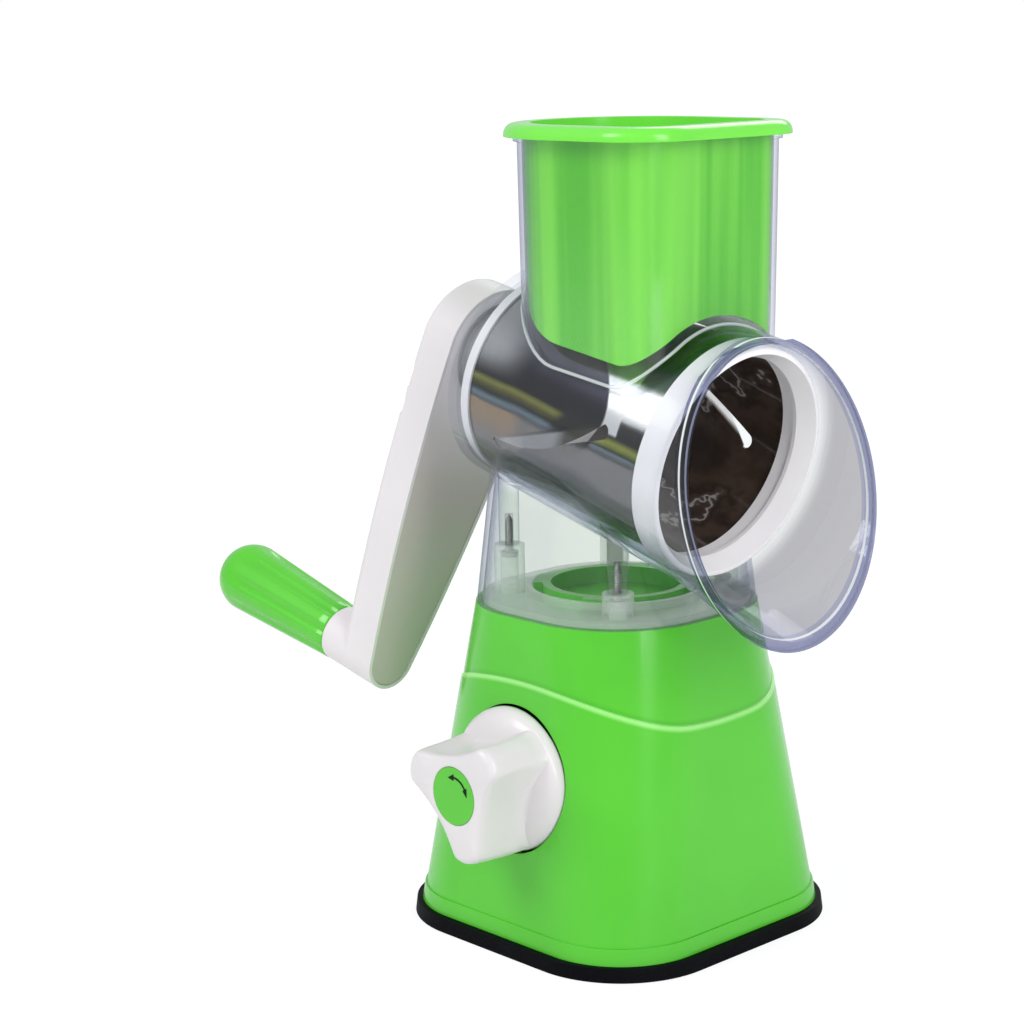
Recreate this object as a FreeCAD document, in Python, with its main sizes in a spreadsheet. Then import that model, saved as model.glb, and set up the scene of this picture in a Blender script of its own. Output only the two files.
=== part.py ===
import FreeCAD, Part
import math
import os

import Sketcher

# Hand-cranked rotary vegetable shredder with a suction base.
#
# Frame: +Z is up and the origin is the centre of the foot on the table. The
# mouth that the shreds fall from faces +X, the crank turns at -X and the
# suction knob faces -Y. Lengths are millimetres and angles are degrees.
#
# Parts that turn with the drum are drawn about their own Z axis, which runs
# from the crank to the mouth, and are then tilted into place as one group.

DIMENSIONS = {
    # Foot and base shell
    "foot_half": 62.6,
    "foot_corner": 37.0,
    "foot_height": 4.8,
    "foot_draft": 0.6,
    "base_half": 59.4,
    "base_corner": 32.3,
    "band_height": 5.7,
    "band_step": 0.6,
    "deck_height": 114.2,
    "deck_half": 45.5,
    "deck_corner": 36.0,
    "base_wall": 2.4,
    "wave_drop": 27.3,
    "wave_rise": 5.8,
    "wave_step": 0.9,
    # Bayonet between base and housing
    "collar_inset": 19.5,
    "collar_wall": 3.0,
    "collar_height": 6.0,
    "lug_reach": 3.2,
    "lug_height": 3.2,
    "lug_count": 4,
    "lug_sweep": 24.0,
    "lug_phase": 20.0,
    "lug_stop_sweep": 3.0,
    "lug_stop_gap": 0.6,
    "seat_gap": 0.1,
    "running_gap": 0.3,
    # Clear housing
    "tilt": 12.8,
    "barrel_x": 2.2,
    "barrel_rise": 67.0,
    "barrel_rear": 44.6,
    "barrel_front": 57.0,
    "barrel_rear_radius": 39.8,
    "barrel_front_radius": 43.6,
    "clear_wall": 1.8,
    "end_wall": 2.6,
    "flare_length": 44.0,
    "flare_radius": 50.2,
    "flare_plane_x": 76.1,
    "flare_drop": 20.2,
    "flare_lean": 10.4,
    "flare_bead": 1.2,
    "flare_bead_width": 3.2,
    "tower_x": 10.2,
    "tower_half_x": 40.2,
    "tower_half_y": 37.6,
    "tower_corner": 16.5,
    "tower_back_flat": 0.7,
    "tower_rise": 94.2,
    "tower_draft": 1.4,
    "tower_wall": 1.6,
    "tower_bead": 1.3,
    "tower_bead_height": 1.5,
    "skirt_inset": 0.3,
    "skirt_height": 62.0,
    "skirt_draft": 7.6,
    "bearing_length": 18.2,
    "bearing_wall": 2.4,
    # Clear bottom plate and its screws
    "plate_thickness": 2.2,
    "plate_ring_height": 5.0,
    "plate_ring_wall": 1.6,
    "boss_inset": 19.1,
    "boss_radius": 5.4,
    "rear_boss_height": 19.4,
    "front_boss_height": 10.2,
    "boss_floor": 2.6,
    "post_radius": 3.6,
    "screw_radius": 1.5,
    "screw_head_radius": 2.9,
    "screw_head_height": 2.0,
    "screw_bite": 10.6,
    # Drum
    "drum_rear": 37.0,
    "drum_front": 47.0,
    "drum_rear_radius": 36.6,
    "drum_front_radius": 38.6,
    "sheet": 0.8,
    "slot_count": 4,
    "slot_length": 61.0,
    "slot_width": 5.0,
    "slot_slant": 24.0,
    "slot_centre": 3.5,
    "slot_phase": 11.0,
    "blade_overhang": 0.2,
    "blade_lift": 1.8,
    "blade_tail": 0.4,
    "blade_steps": 10,
    "end_round": 0.005,
    "ring_radius": 40.9,
    "ring_front_radius": 39.2,
    "ring_bore": 35.2,
    "ring_bore_length": 1.4,
    "ring_seat": 4.0,
    "ring_seat_wall": 1.6,
    "ring_length": 9.4,
    "ring_dish": 6.4,
    "ring_taper": 0.7,
    "ring_lip": 1.1,
    "hub_disc": 3.0,
    "hub_flange_width": 3.5,
    "hub_flange_lip": 0.8,
    "neck_radius": 14.3,
    "neck_length": 37.0,
    "neck_wall": 2.2,
    "thrust_radius": 19.0,
    "thrust_gap": 0.4,
    "key_width": 5.0,
    "key_depth": 1.0,
    "key_length": 22.0,
    "key_count": 4,
    "key_gap": 0.15,
    "window": 4.2,
    "window_inset": 3.6,
    # Crank
    "crank_angle": 15.2,
    "crank_length": 121.3,
    "arm_inner": 63.2,
    "arm_depth": 16.5,
    "hub_radius": 24.0,
    "end_radius": 10.8,
    "side_radius": 760.0,
    "arm_wall": 2.3,
    "arm_round": 2.6,
    "cover_thickness": 2.0,
    "cover_inset": 1.3,
    "cover_gap": 0.15,
    "cover_recess": 0.4,
    "sleeve_radius": 16.9,
    "sleeve_fit": 0.08,
    "sleeve_end_gap": 1.9,
    "arm_boss_length": 11.7,
    "arm_boss_radius": 10.7,
    # Latch
    "latch_travel": 3.6,
    "latch_gap": 0.3,
    "latch_bite": 1.7,
    "latch_bar_width": 5.0,
    "latch_bar_end": 30.0,
    "latch_stem_length": 4.0,
    "latch_stem_x": 26.0,
    "latch_pad_width": 14.0,
    "latch_pad_thickness": 3.4,
    "latch_pad_gap": 0.4,
    # Grip
    "grip_length": 59.2,
    "grip_near_radius": 10.8,
    "grip_far_radius": 13.6,
    "grip_dome": 9.6,
    "flute_count": 8,
    "flute_radius": 8.0,
    "flute_depth": 0.9,
    "flute_stop": 5.6,
    "grip_gap": 0.3,
    "axle_radius": 3.5,
    "axle_fit": 0.08,
    "axle_length": 58.6,
    "axle_head": 1.2,
    "axle_head_length": 2.0,
    # Pusher
    "pusher_gap": 0.5,
    "pusher_wall": 2.6,
    "pusher_clearance": 2.4,
    "rim_reach": 4.5,
    "rim_height": 4.55,
    "rim_gap": 0.05,
    "rim_round": 3.8,
    # Suction knob, cam and stem
    "knob_x": 0.0,
    "knob_height": 59.7,
    "knob_back": 49.9,
    "knob_face": 78.8,
    "flange_radius": 25.2,
    "flange_edge": 3.0,
    "flange_dome": 7.0,
    "knob_hole_gap": 0.35,
    "lobe_count": 3,
    "lobe_radius": 24.2,
    "lobe_phase": 43.0,
    "lobe_hollow_radius": 60.0,
    "lobe_waist": 13.4,
    "lobe_flare": 0.7,
    "lobe_round": 6.0,
    "knob_edge_round": 2.2,
    "badge_radius": 10.0,
    "badge_thickness": 1.0,
    "shaft_radius": 4.0,
    "shaft_fit": 0.05,
    "shaft_rear": 31.0,
    "cam_radius": 6.0,
    "cam_lift": 5.0,
    "cam_width": 8.0,
    "yoke_bar": 4.0,
    "yoke_gap": 0.8,
    "stem_radius": 4.0,
    "frame_height": 7.4,
    "frame_thickness": 3.6,
    "frame_gap": 1.2,
    "frame_post_radius": 4.2,
    "frame_post_height": 16.0,
    "frame_screw_spacing": 35.0,
    "frame_screw_length": 13.0,
    "guide_height": 22.0,
    "guide_length": 13.0,
    "bearing_block": 6.0,
    "bearing_span": 24.0,
    "shaft_end_play": 0.2,
    "clip_thickness": 1.2,
    "clip_depth": 0.8,
    "clip_reach": 2.6,
    "knob_socket": 67.0,
    "knob_screw_bite": 9.0,
    "badge_gap": 0.15,
    "flange_arc": 15.0,
    "cup_radius": 49.4,
    "cup_flange": 2.4,
    "cup_gap": 0.3,
    "cup_lip": 3.0,
    "cup_depth": 5.4,
    "cup_skin": 2.0,
    "cup_boss_height": 4.6,
    "washer_radius": 11.0,
}

CIRCLE = 360.0
QUARTER = 90.0


class Size:
    """A length or angle with the spreadsheet expression that gives it."""

    def __init__(self, value, text):
        self.value = float(value)
        self.text = text

    @staticmethod
    def of(number):
        """Return number itself if it is a Size, or a constant Size."""
        return number if isinstance(number, Size) else Size(number, "({:g})".format(number))

    def _join(self, other, symbol, value):
        return Size(value, "({} {} {})".format(self.text, symbol, Size.of(other).text))

    def __add__(self, other):
        return self._join(other, "+", self.value + Size.of(other).value)

    def __sub__(self, other):
        return self._join(other, "-", self.value - Size.of(other).value)

    def __mul__(self, other):
        return self._join(other, "*", self.value * Size.of(other).value)

    def __truediv__(self, other):
        return self._join(other, "/", self.value / Size.of(other).value)

    def __neg__(self):
        return Size(-self.value, "(0 - {})".format(self.text))

    def __radd__(self, other):
        return Size.of(other) + self

    def __rsub__(self, other):
        return Size.of(other) - self

    def __rmul__(self, other):
        return Size.of(other) * self

    def __rtruediv__(self, other):
        return Size.of(other) / self


class Dimensions:
    """The document's spreadsheet, read as attributes that are Sizes."""

    def __init__(self, document, values):
        sheet = document.addObject("Spreadsheet::Sheet", "Dims")
        for row, (alias, value) in enumerate(values.items(), start=1):
            sheet.set("A{}".format(row), alias)
            sheet.set("B{}".format(row), "{:g}".format(value))
            sheet.setAlias("B{}".format(row), alias)
            setattr(self, alias, Size(value, "Dims.{}".format(alias)))
        document.recompute()


DOC = FreeCAD.newDocument("Shredder")
dim = Dimensions(DOC, DIMENSIONS)

# Heights and the skirt's plan that follow the deck.
dim.barrel_z = dim.deck_height + dim.barrel_rise
dim.tower_top = dim.barrel_z + dim.tower_rise
dim.flare_plane_z = dim.barrel_z - dim.flare_drop
dim.wave_height = dim.deck_height - dim.wave_drop
dim.skirt_half = dim.deck_half - dim.skirt_inset
dim.skirt_corner = dim.deck_corner - dim.skirt_inset
dim.collar_radius = dim.deck_half - dim.collar_inset
dim.boss_spacing = dim.deck_half - dim.boss_inset


def slope(rise, run):
    """The angle whose tangent is rise over run, in degrees."""
    ratio = rise / run
    return Size(math.degrees(math.atan(ratio.value)), "(atan({}) / 1 deg)".format(ratio.text))


def bind(target, **sizes):
    """Bind each named property of target to a Size."""
    for name, size in sizes.items():
        target.setExpression(name, Size.of(size).text)


def place(target, x=0, y=0, z=0, axis=None, angle=0):
    """Place target at x, y, z, turned by angle about axis, bound to the sheet."""
    turn = Size.of(angle)
    rotation = FreeCAD.Rotation(axis or FreeCAD.Vector(0, 0, 1), turn.value)
    corner = [Size.of(value) for value in (x, y, z)]
    target.Placement = FreeCAD.Placement(FreeCAD.Vector(*[value.value for value in corner]), rotation)
    for letter, value in zip("xyz", corner):
        target.setExpression("Placement.Base.{}".format(letter), value.text)
    if axis is not None:
        target.setExpression("Placement.Rotation.Angle", turn.text)
    return target


def on_barrel(target):
    """Tilt an object drawn about Z so that its Z runs from crank to mouth."""
    return place(target, dim.barrel_x, 0, dim.barrel_z, FreeCAD.Vector(0, 1, 0), dim.tilt + QUARTER)


def on_knob(target):
    """Turn an object drawn about Z so that its Z points out of the knob's face."""
    return place(target, dim.knob_x, 0, dim.knob_height, FreeCAD.Vector(1, 0, 0), QUARTER)


# ---------------------------------------------------------------- primitives


def cylinder(name, radius, bottom, height, x=0, y=0):
    """A cylinder about the local Z axis, from bottom upwards."""
    shape = DOC.addObject("Part::Cylinder", name)
    bind(shape, Radius=radius, Height=height)
    return place(shape, x, y, bottom)


def cone(name, bottom_radius, top_radius, bottom, height):
    """A cone frustum about the local Z axis."""
    shape = DOC.addObject("Part::Cone", name)
    bind(shape, Radius1=bottom_radius, Radius2=top_radius, Height=height)
    return place(shape, 0, 0, bottom)


def box(name, size_x, size_y, size_z, x, y, z):
    """A box centred on x and y, with its lowest face at z."""
    shape = DOC.addObject("Part::Box", name)
    bind(shape, Length=size_x, Width=size_y, Height=size_z)
    return place(shape, x - Size.of(size_x) / 2, y - Size.of(size_y) / 2, z)


def fuse(name, shapes):
    """One solid from several."""
    result = DOC.addObject("Part::MultiFuse", name)
    result.Shapes = shapes
    return result


def cut(name, base, *tools):
    """The base with every tool taken away."""
    result = DOC.addObject("Part::Cut", name)
    result.Base = base
    result.Tool = tools[0] if len(tools) == 1 else fuse(name + "_tools", list(tools))
    return result


def common(name, first, second):
    """What two solids share."""
    result = DOC.addObject("Part::Common", name)
    result.Base = first
    result.Tool = second
    return result


def group(name, shapes):
    """Several shapes kept apart in one object."""
    result = DOC.addObject("Part::Compound", name)
    result.Links = shapes
    return result


def turned_copies(name, make, count, first_angle=0):
    """Copies of a shape spread evenly about the local Z axis."""
    copies = []
    for index in range(int(count.value)):
        angle = first_angle + index * (CIRCLE / count)
        turned = group("{}_{}_turned".format(name, index + 1), [make("{}_{}".format(name, index + 1))])
        copies.append(place(turned, axis=FreeCAD.Vector(0, 0, 1), angle=angle))
    return copies


def at_corners(name, make, spacing):
    """Four copies of a shape, spacing away from the centre in x and y."""
    copies = []
    for number, (side_x, side_y) in enumerate(((1, 1), (-1, 1), (-1, -1), (1, -1)), start=1):
        copies.append(make("{}_{}".format(name, number), side_x * spacing, side_y * spacing))
    return copies


# ------------------------------------------------------------ sketched bodies


class Body:
    """A PartDesign body with short names for its sketches and features."""

    def __init__(self, name):
        self.body = DOC.addObject("PartDesign::Body", name)
        self.name = name
        self.count = 0

    def sketch(self, plane="XY_Plane", height=0, spin=0):
        """A sketch on one of the body's origin planes, lifted and spun."""
        self.count += 1
        sketch = self.body.newObject("Sketcher::SketchObject", "{}_sketch{}".format(self.name, self.count))
        origin_plane = [item for item in self.body.Origin.OriginFeatures if item.Role == plane][0]
        sketch.AttachmentSupport = [(origin_plane, "")]
        sketch.MapMode = "FlatFace"
        lift, turn = Size.of(height), Size.of(spin)
        rotation = FreeCAD.Rotation(FreeCAD.Vector(0, 0, 1), turn.value)
        sketch.AttachmentOffset = FreeCAD.Placement(FreeCAD.Vector(0, 0, lift.value), rotation)
        sketch.setExpression("AttachmentOffset.Base.z", lift.text)
        if isinstance(spin, Size):
            sketch.setExpression("AttachmentOffset.Rotation.Angle", turn.text)
        return sketch

    def feature(self, kind, sketch, **settings):
        """A feature of the body made from a sketch."""
        feature = self.body.newObject("PartDesign::" + kind, "{}_{}{}".format(self.name, kind.lower(), self.count))
        feature.Profile = sketch
        for name, value in settings.items():
            if isinstance(value, Size):
                feature.setExpression(name, value.text)
            else:
                setattr(feature, name, value)
        sketch.Visibility = False
        self.body.Tip = feature
        return feature

    def pad(self, sketch, length, **settings):
        """Add the sketch's area, raised along its normal."""
        feature = self.feature("Pad", sketch, Length=length, **settings)
        DOC.recompute()
        return feature

    def pocket(self, sketch, length, **settings):
        """Cut the sketch's area down from its plane, and check that it cuts."""
        before = self.body.Shape.Volume
        feature = self.feature("Pocket", sketch, Length=length, **settings)
        DOC.recompute()
        if not self.body.Shape.Volume < before:
            raise RuntimeError("{} cuts nothing".format(feature.Name))
        return feature

    def revolve(self, sketch):
        """Turn the sketch about the vertical axis through a full circle."""
        feature = self.feature("Revolution", sketch)
        feature.ReferenceAxis = (sketch, ["V_Axis"])
        feature.Angle = CIRCLE
        DOC.recompute()
        return feature

    def loft(self, first, *others):
        """Loft between parallel sketches."""
        feature = self.feature("AdditiveLoft", first)
        feature.Sections = list(others)
        feature.Ruled = True
        DOC.recompute()
        return feature

    def polar(self, feature, count):
        """Repeat a feature about the vertical axis."""
        pattern = self.body.newObject("PartDesign::PolarPattern", "{}_polar{}".format(self.name, self.count))
        pattern.Originals = [feature]
        pattern.Axis = (feature.Profile[0], ["N_Axis"])
        pattern.Angle = CIRCLE
        pattern.setExpression("Occurrences", count.text)
        self.body.Tip = pattern
        DOC.recompute()
        return pattern

    def fillet(self, radius, chosen):
        """Round every edge of the tip that chosen accepts."""
        tip = self.body.Tip
        names = ["Edge{}".format(number)
                 for number, edge in enumerate(tip.Shape.Edges, start=1) if chosen(edge)]
        feature = self.body.newObject("PartDesign::Fillet", "{}_fillet{}".format(self.name, self.count))
        feature.Base = (tip, names)
        feature.setExpression("Radius", radius.text)
        self.body.Tip = feature
        DOC.recompute()
        return feature


def pin(sketch, index, position, point):
    """Fix one point of a sketch's geometry at x, y from the origin."""
    for kind, size in zip(("DistanceX", "DistanceY"), point):
        size = Size.of(size)
        row = sketch.addConstraint(Sketcher.Constraint(kind, -1, 1, index, position, size.value))
        sketch.setExpression("Constraints[{}]".format(row), size.text)


def limit_radius(sketch, index, radius):
    """Fix the radius of an arc or circle."""
    row = sketch.addConstraint(Sketcher.Constraint("Radius", index, radius.value))
    sketch.setExpression("Constraints[{}]".format(row), radius.text)


def circle(sketch, radius, x=0, y=0):
    """A circle of the given radius about x, y."""
    radius = Size.of(radius)
    centre = FreeCAD.Vector(Size.of(x).value, Size.of(y).value, 0)
    index = sketch.addGeometry(Part.Circle(centre, FreeCAD.Vector(0, 0, 1), radius.value), False)
    pin(sketch, index, 3, (x, y))
    limit_radius(sketch, index, radius)
    return index


def vector(point):
    """The FreeCAD vector of a pair of sizes."""
    return FreeCAD.Vector(Size.of(point[0]).value, Size.of(point[1]).value, 0)


def outline(sketch, points):
    """A closed anticlockwise outline. A point with a radius ends an arc that
    bulges outwards, or inwards where a fourth item says hollow."""
    count = len(points)
    ends = []
    for number in range(count):
        start, finish = vector(points[number]), vector(points[(number + 1) % count])
        bend = points[(number + 1) % count][2:]
        if not bend:
            index = sketch.addGeometry(Part.LineSegment(start, finish), False)
            ends.append((index, 1, 2))
            continue
        hollow = len(bend) == 2
        corners = (finish, start) if hollow else (start, finish)
        index = sketch.addGeometry(anticlockwise_arc(*corners, bend[0].value), False)
        limit_radius(sketch, index, bend[0])
        ends.append((index, 2, 1) if hollow else (index, 1, 2))
    for number in range(count):
        index, first, last = ends[number]
        next_index, next_first, _ = ends[(number + 1) % count]
        sketch.addConstraint(Sketcher.Constraint("Coincident", index, last, next_index, next_first))
        pin(sketch, index, first, points[number][:2])


def anticlockwise_arc(start, finish, radius):
    """The shorter arc from start to finish that turns anticlockwise."""
    chord = finish - start
    half = chord.Length / 2
    height = math.sqrt(max(radius * radius - half * half, 0))
    left = FreeCAD.Vector(-chord.y, chord.x, 0).normalize()
    centre = (start + finish) / 2 + left * height
    begin = math.atan2(start.y - centre.y, start.x - centre.x)
    end = math.atan2(finish.y - centre.y, finish.x - centre.x)
    return Part.ArcOfCircle(Part.Circle(centre, FreeCAD.Vector(0, 0, 1), radius), begin, end)


def rounded_rectangle(sketch, half_x, half_y, corner, x=0, back_corner=None):
    """A rectangle with round corners, centred on x and zero. The two corners
    at -X may have a radius of their own."""
    back = back_corner or corner
    front_x, front_y = half_x - corner, half_y - corner
    back_x, back_y = half_x - back, half_y - back
    outline(sketch, [
        (x + half_x, -front_y, corner),
        (x + half_x, front_y),
        (x + front_x, half_y, corner),
        (x - back_x, half_y),
        (x - half_x, back_y, back),
        (x - half_x, -back_y),
        (x - back_x, -half_y, back),
        (x + front_x, -half_y),
    ])


def square_loft(name, levels):
    """A loft through rounded rectangles (half_x, half_y, corner, height)."""
    body = Body(name)
    sketches = []
    for half_x, half_y, corner, height in levels:
        sketch = body.sketch(height=height)
        rounded_rectangle(sketch, half_x, half_y, corner)
        sketches.append(sketch)
    body.loft(*sketches)
    return body.body


def turned(name, points):
    """A body of revolution from an outline of radius and height."""
    body = Body(name)
    sketch = body.sketch("XZ_Plane")
    outline(sketch, points)
    body.revolve(sketch)
    return body.body


# ----------------------------------------------------------------- suction base


def base_outer():
    """The outside of the base: foot band, lower skin and slimmer upper part."""
    band_top = dim.foot_height + dim.band_height
    rise = dim.deck_height - dim.foot_height
    slope = (dim.base_half - dim.wave_step - dim.deck_half) / rise
    corner_slope = (dim.deck_corner - dim.base_corner) / rise
    band_half = dim.base_half - slope * dim.band_height
    band_corner = dim.base_corner + corner_slope * dim.band_height
    skin_top = dim.wave_height + 2 * dim.wave_rise
    skin_half = band_half - dim.band_step - slope * (skin_top - band_top)
    skin_corner = band_corner - dim.band_step + corner_slope * (skin_top - band_top)
    band = square_loft("base_band", [
        (dim.base_half, dim.base_half, dim.base_corner, dim.foot_height),
        (band_half, band_half, band_corner, band_top),
    ])
    skin = square_loft("base_skin", [
        (band_half - dim.band_step, band_half - dim.band_step, band_corner - dim.band_step, band_top),
        (skin_half, skin_half, skin_corner, skin_top),
    ])
    core = square_loft("base_core", [
        (dim.base_half - dim.wave_step, dim.base_half - dim.wave_step, dim.base_corner - dim.wave_step,
         dim.foot_height),
        (dim.deck_half, dim.deck_half, dim.deck_corner, dim.deck_height),
    ])
    lower_skin = common("base_lower_skin", skin, wave_block())
    return fuse("base_outside", [band, lower_skin, core])


def wave_block():
    """A block under a saddle surface, high at the sides and low at the mouth."""
    reach = dim.base_half.value + 1
    swing = dim.wave_rise.value * (reach / dim.deck_half.value) ** 2
    surface = Part.BezierSurface()
    surface.increase(2, 2)
    for row, across in enumerate((-reach, 0, reach), start=1):
        for column, along in enumerate((-reach, 0, reach), start=1):
            bend = (1 if across else -1) - (1 if along else -1)
            height = dim.wave_height.value - swing * bend
            surface.setPole(row, column, FreeCAD.Vector(across, along, height))
    block = DOC.addObject("Part::Feature", "wave_block")
    block.Shape = surface.toShape().extrude(FreeCAD.Vector(0, 0, -2 * dim.deck_height.value))
    return block


def base_cavity():
    """The hollow of the base, open at the foot and closed by the deck."""
    bottom_half = dim.base_half - dim.wave_step - dim.base_wall
    bottom_corner = dim.base_corner - dim.wave_step - dim.base_wall
    return square_loft("base_cavity", [
        (bottom_half, bottom_half, bottom_corner, dim.foot_height),
        (dim.deck_half - dim.base_wall, dim.deck_half - dim.base_wall, dim.deck_corner - dim.base_wall,
         dim.deck_height - dim.base_wall),
    ])


def base_collar():
    """The ring on the deck with lugs that hold the housing down."""
    top = dim.deck_height + dim.collar_height

    def lug(name):
        sector = cylinder(name, dim.collar_radius + dim.lug_reach, top - dim.lug_height, dim.lug_height)
        bind(sector, Angle=dim.lug_sweep)
        return sector

    def stop(name):
        sector = cylinder(name, dim.collar_radius + dim.lug_reach, dim.deck_height, dim.collar_height)
        bind(sector, Angle=dim.lug_stop_sweep)
        return sector

    wall = cylinder("collar_wall", dim.collar_radius, dim.deck_height - dim.base_wall / 2,
                    dim.collar_height + dim.base_wall / 2)
    lugs = turned_copies("collar_lug", lug, dim.lug_count, dim.lug_phase)
    lugs += turned_copies("collar_stop", stop, dim.lug_count,
                          dim.lug_phase + dim.lug_sweep + dim.lug_stop_gap)
    bore = cylinder("collar_bore", dim.collar_radius - dim.collar_wall, dim.deck_height, dim.collar_height * 2)
    return cut("base_collar", fuse("collar_with_lugs", [wall] + lugs), bore)


def base_posts():
    """Screw posts in the four corners, each tied to the wall by a web."""
    bottom = dim.frame_height + dim.frame_thickness

    def post(name, x, y):
        return cylinder(name, dim.frame_post_radius, bottom, dim.frame_post_height, x, y)

    webs = []
    for number in range(2):
        web = box("post_web_{}".format(number + 1), dim.base_half * 3, dim.base_wall, dim.frame_post_height,
                  0, 0, bottom)
        holder = group("post_web_turned_{}".format(number + 1), [web])
        webs.append(place(holder, axis=FreeCAD.Vector(0, 0, 1), angle=QUARTER / 2 + number * QUARTER))
    core = cylinder("post_web_core", dim.frame_screw_spacing * math.sqrt(2), bottom, dim.frame_post_height)
    outer_webs = cut("post_webs", fuse("post_web_cross", webs), core)
    return fuse("base_posts", at_corners("base_post", post, dim.frame_screw_spacing) + [outer_webs])


def frame_screw_shank(name, x, y):
    """The part of a frame screw that bites into its post."""
    return cylinder(name, dim.screw_radius, dim.frame_height, dim.frame_screw_length, x, y)


def make_base_shell():
    """Green base: tapered shell, deck, bayonet collar and inner screw posts."""
    outside = base_outer()
    hole = cylinder("knob_hole", dim.flange_radius + dim.knob_hole_gap, 0, dim.knob_face)
    shell = cut("base_hollowed", outside, base_cavity(), on_knob(group("knob_hole_turned", [hole])))
    posts = common("base_inner_posts", base_posts(), outside)
    pilots = at_corners("base_pilot", frame_screw_shank, dim.frame_screw_spacing)
    return cut("base_shell", fuse("base_with_collar", [shell, base_collar(), posts]), *pilots)


def make_foot_ring():
    """Black rubber foot with a lip that sits inside the base."""
    slab = square_loft("foot_slab", [
        (dim.foot_half, dim.foot_half, dim.foot_corner, Size.of(0)),
        (dim.foot_half - dim.foot_draft, dim.foot_half - dim.foot_draft, dim.foot_corner - dim.foot_draft,
         dim.foot_height),
    ])
    lip_half = dim.base_half - dim.wave_step - dim.base_wall - dim.frame_gap
    lip_corner = dim.base_corner - dim.wave_step - dim.base_wall - dim.frame_gap
    lip = square_loft("foot_lip", [
        (lip_half, lip_half, lip_corner, dim.foot_height),
        (lip_half, lip_half, lip_corner, dim.frame_height),
    ])
    opening = cylinder("foot_opening_bore", dim.cup_radius + dim.cup_gap, -1, dim.frame_height * 2)
    seat = cylinder("foot_cup_seat", dim.cup_radius + dim.cup_flange + dim.cup_gap,
                    dim.frame_height - dim.cup_skin, dim.frame_height)
    return cut("foot_ring", fuse("foot_solid", [slab, lip]), opening, seat)


def make_suction_cup():
    """Rubber cup, drawn up in the middle as it is when the knob holds it."""
    boss_top = dim.cup_depth + dim.cup_skin + dim.cup_boss_height
    flange_bottom = dim.frame_height - dim.cup_skin
    neck = dim.cup_radius - dim.cup_skin - dim.cup_gap
    return turned("suction_cup", [
        (dim.stem_radius, dim.cup_depth),
        (neck - dim.cup_lip, 0),
        (dim.cup_radius, 0),
        (dim.cup_radius, flange_bottom),
        (dim.cup_radius + dim.cup_flange, flange_bottom),
        (dim.cup_radius + dim.cup_flange, dim.frame_height),
        (neck, dim.frame_height),
        (neck, dim.cup_skin),
        (dim.washer_radius, dim.cup_depth + dim.cup_skin),
        (dim.washer_radius, boss_top),
        (dim.stem_radius, boss_top),
    ])


def make_suction_frame():
    """Inner frame: screwed plate, stem guide and the knob shaft's bearings."""
    half = dim.base_half - dim.wave_step - dim.base_wall - dim.frame_gap
    corner = dim.base_corner - dim.wave_step - dim.base_wall - dim.frame_gap
    top = dim.frame_height + dim.frame_thickness
    plate = square_loft("frame_plate", [
        (half - dim.frame_gap, half - dim.frame_gap, corner, dim.frame_height),
        (half - dim.frame_gap, half - dim.frame_gap, corner, top),
    ])
    outer = dim.washer_radius + dim.frame_gap * 2 + dim.frame_thickness
    chamber = turned("frame_chamber", [
        (dim.stem_radius + dim.shaft_fit, dim.guide_height),
        (outer - dim.frame_thickness, dim.guide_height),
        (outer - dim.frame_thickness, dim.frame_height),
        (outer, dim.frame_height),
        (outer, dim.guide_height + dim.frame_thickness),
        (dim.stem_radius + dim.frame_thickness, dim.guide_height + dim.frame_thickness),
        (dim.stem_radius + dim.frame_thickness, dim.guide_height + dim.guide_length),
        (dim.stem_radius + dim.shaft_fit, dim.guide_height + dim.guide_length),
    ])
    opening = cylinder("frame_opening", outer - dim.frame_thickness, dim.frame_height - 1,
                       dim.frame_thickness + 2)
    block_height = dim.knob_height + dim.shaft_radius + dim.frame_thickness - dim.frame_height
    block_width = (dim.shaft_radius + dim.frame_thickness) * 2
    blocks = []
    for number, side in enumerate((-1, 1), start=1):
        blocks.append(box("bearing_block_{}".format(number), block_width, dim.bearing_block, block_height,
                          dim.knob_x, side * dim.bearing_span, dim.frame_height))
    bore = cylinder("frame_shaft_bore", dim.shaft_radius + dim.shaft_fit, 0, dim.bearing_span * 4)
    slide = place(group("frame_shaft_bore_moved", [bore]), 0, 0, -2 * dim.bearing_span)
    holes = at_corners("frame_screw_hole", frame_screw_shank, dim.frame_screw_spacing)
    holes += at_corners("frame_screw_seat", frame_screw_seat, dim.frame_screw_spacing)
    opened = cut("frame_plate_open", plate, opening)
    chamber_clear = cylinder("frame_chamber_clear", outer - dim.frame_thickness, dim.frame_height,
                             dim.guide_height - dim.frame_height)
    blocks_clear = cut("bearing_blocks", fuse("bearing_block_pair", blocks), chamber_clear)
    solid = fuse("frame_solid", [opened, chamber, blocks_clear])
    return cut("suction_frame", solid, on_knob(group("frame_shaft_bore_turned", [slide])), *holes)


def frame_screw_seat(name, x, y):
    """The recess for a frame screw's head."""
    return cylinder(name, dim.screw_head_radius + dim.running_gap, dim.frame_height - 1,
                    dim.screw_head_height + 1, x, y)


def make_frame_screws():
    """Four screws that hold the suction frame in the base."""
    def screw(name, x, y):
        head = cylinder(name + "_head", dim.screw_head_radius, dim.frame_height, dim.screw_head_height, x, y)
        return fuse(name, [frame_screw_shank(name + "_shank", x, y), head])

    return group("frame_screws", at_corners("frame_screw", screw, dim.frame_screw_spacing))


# ------------------------------------------------------- suction knob and stem


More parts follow.
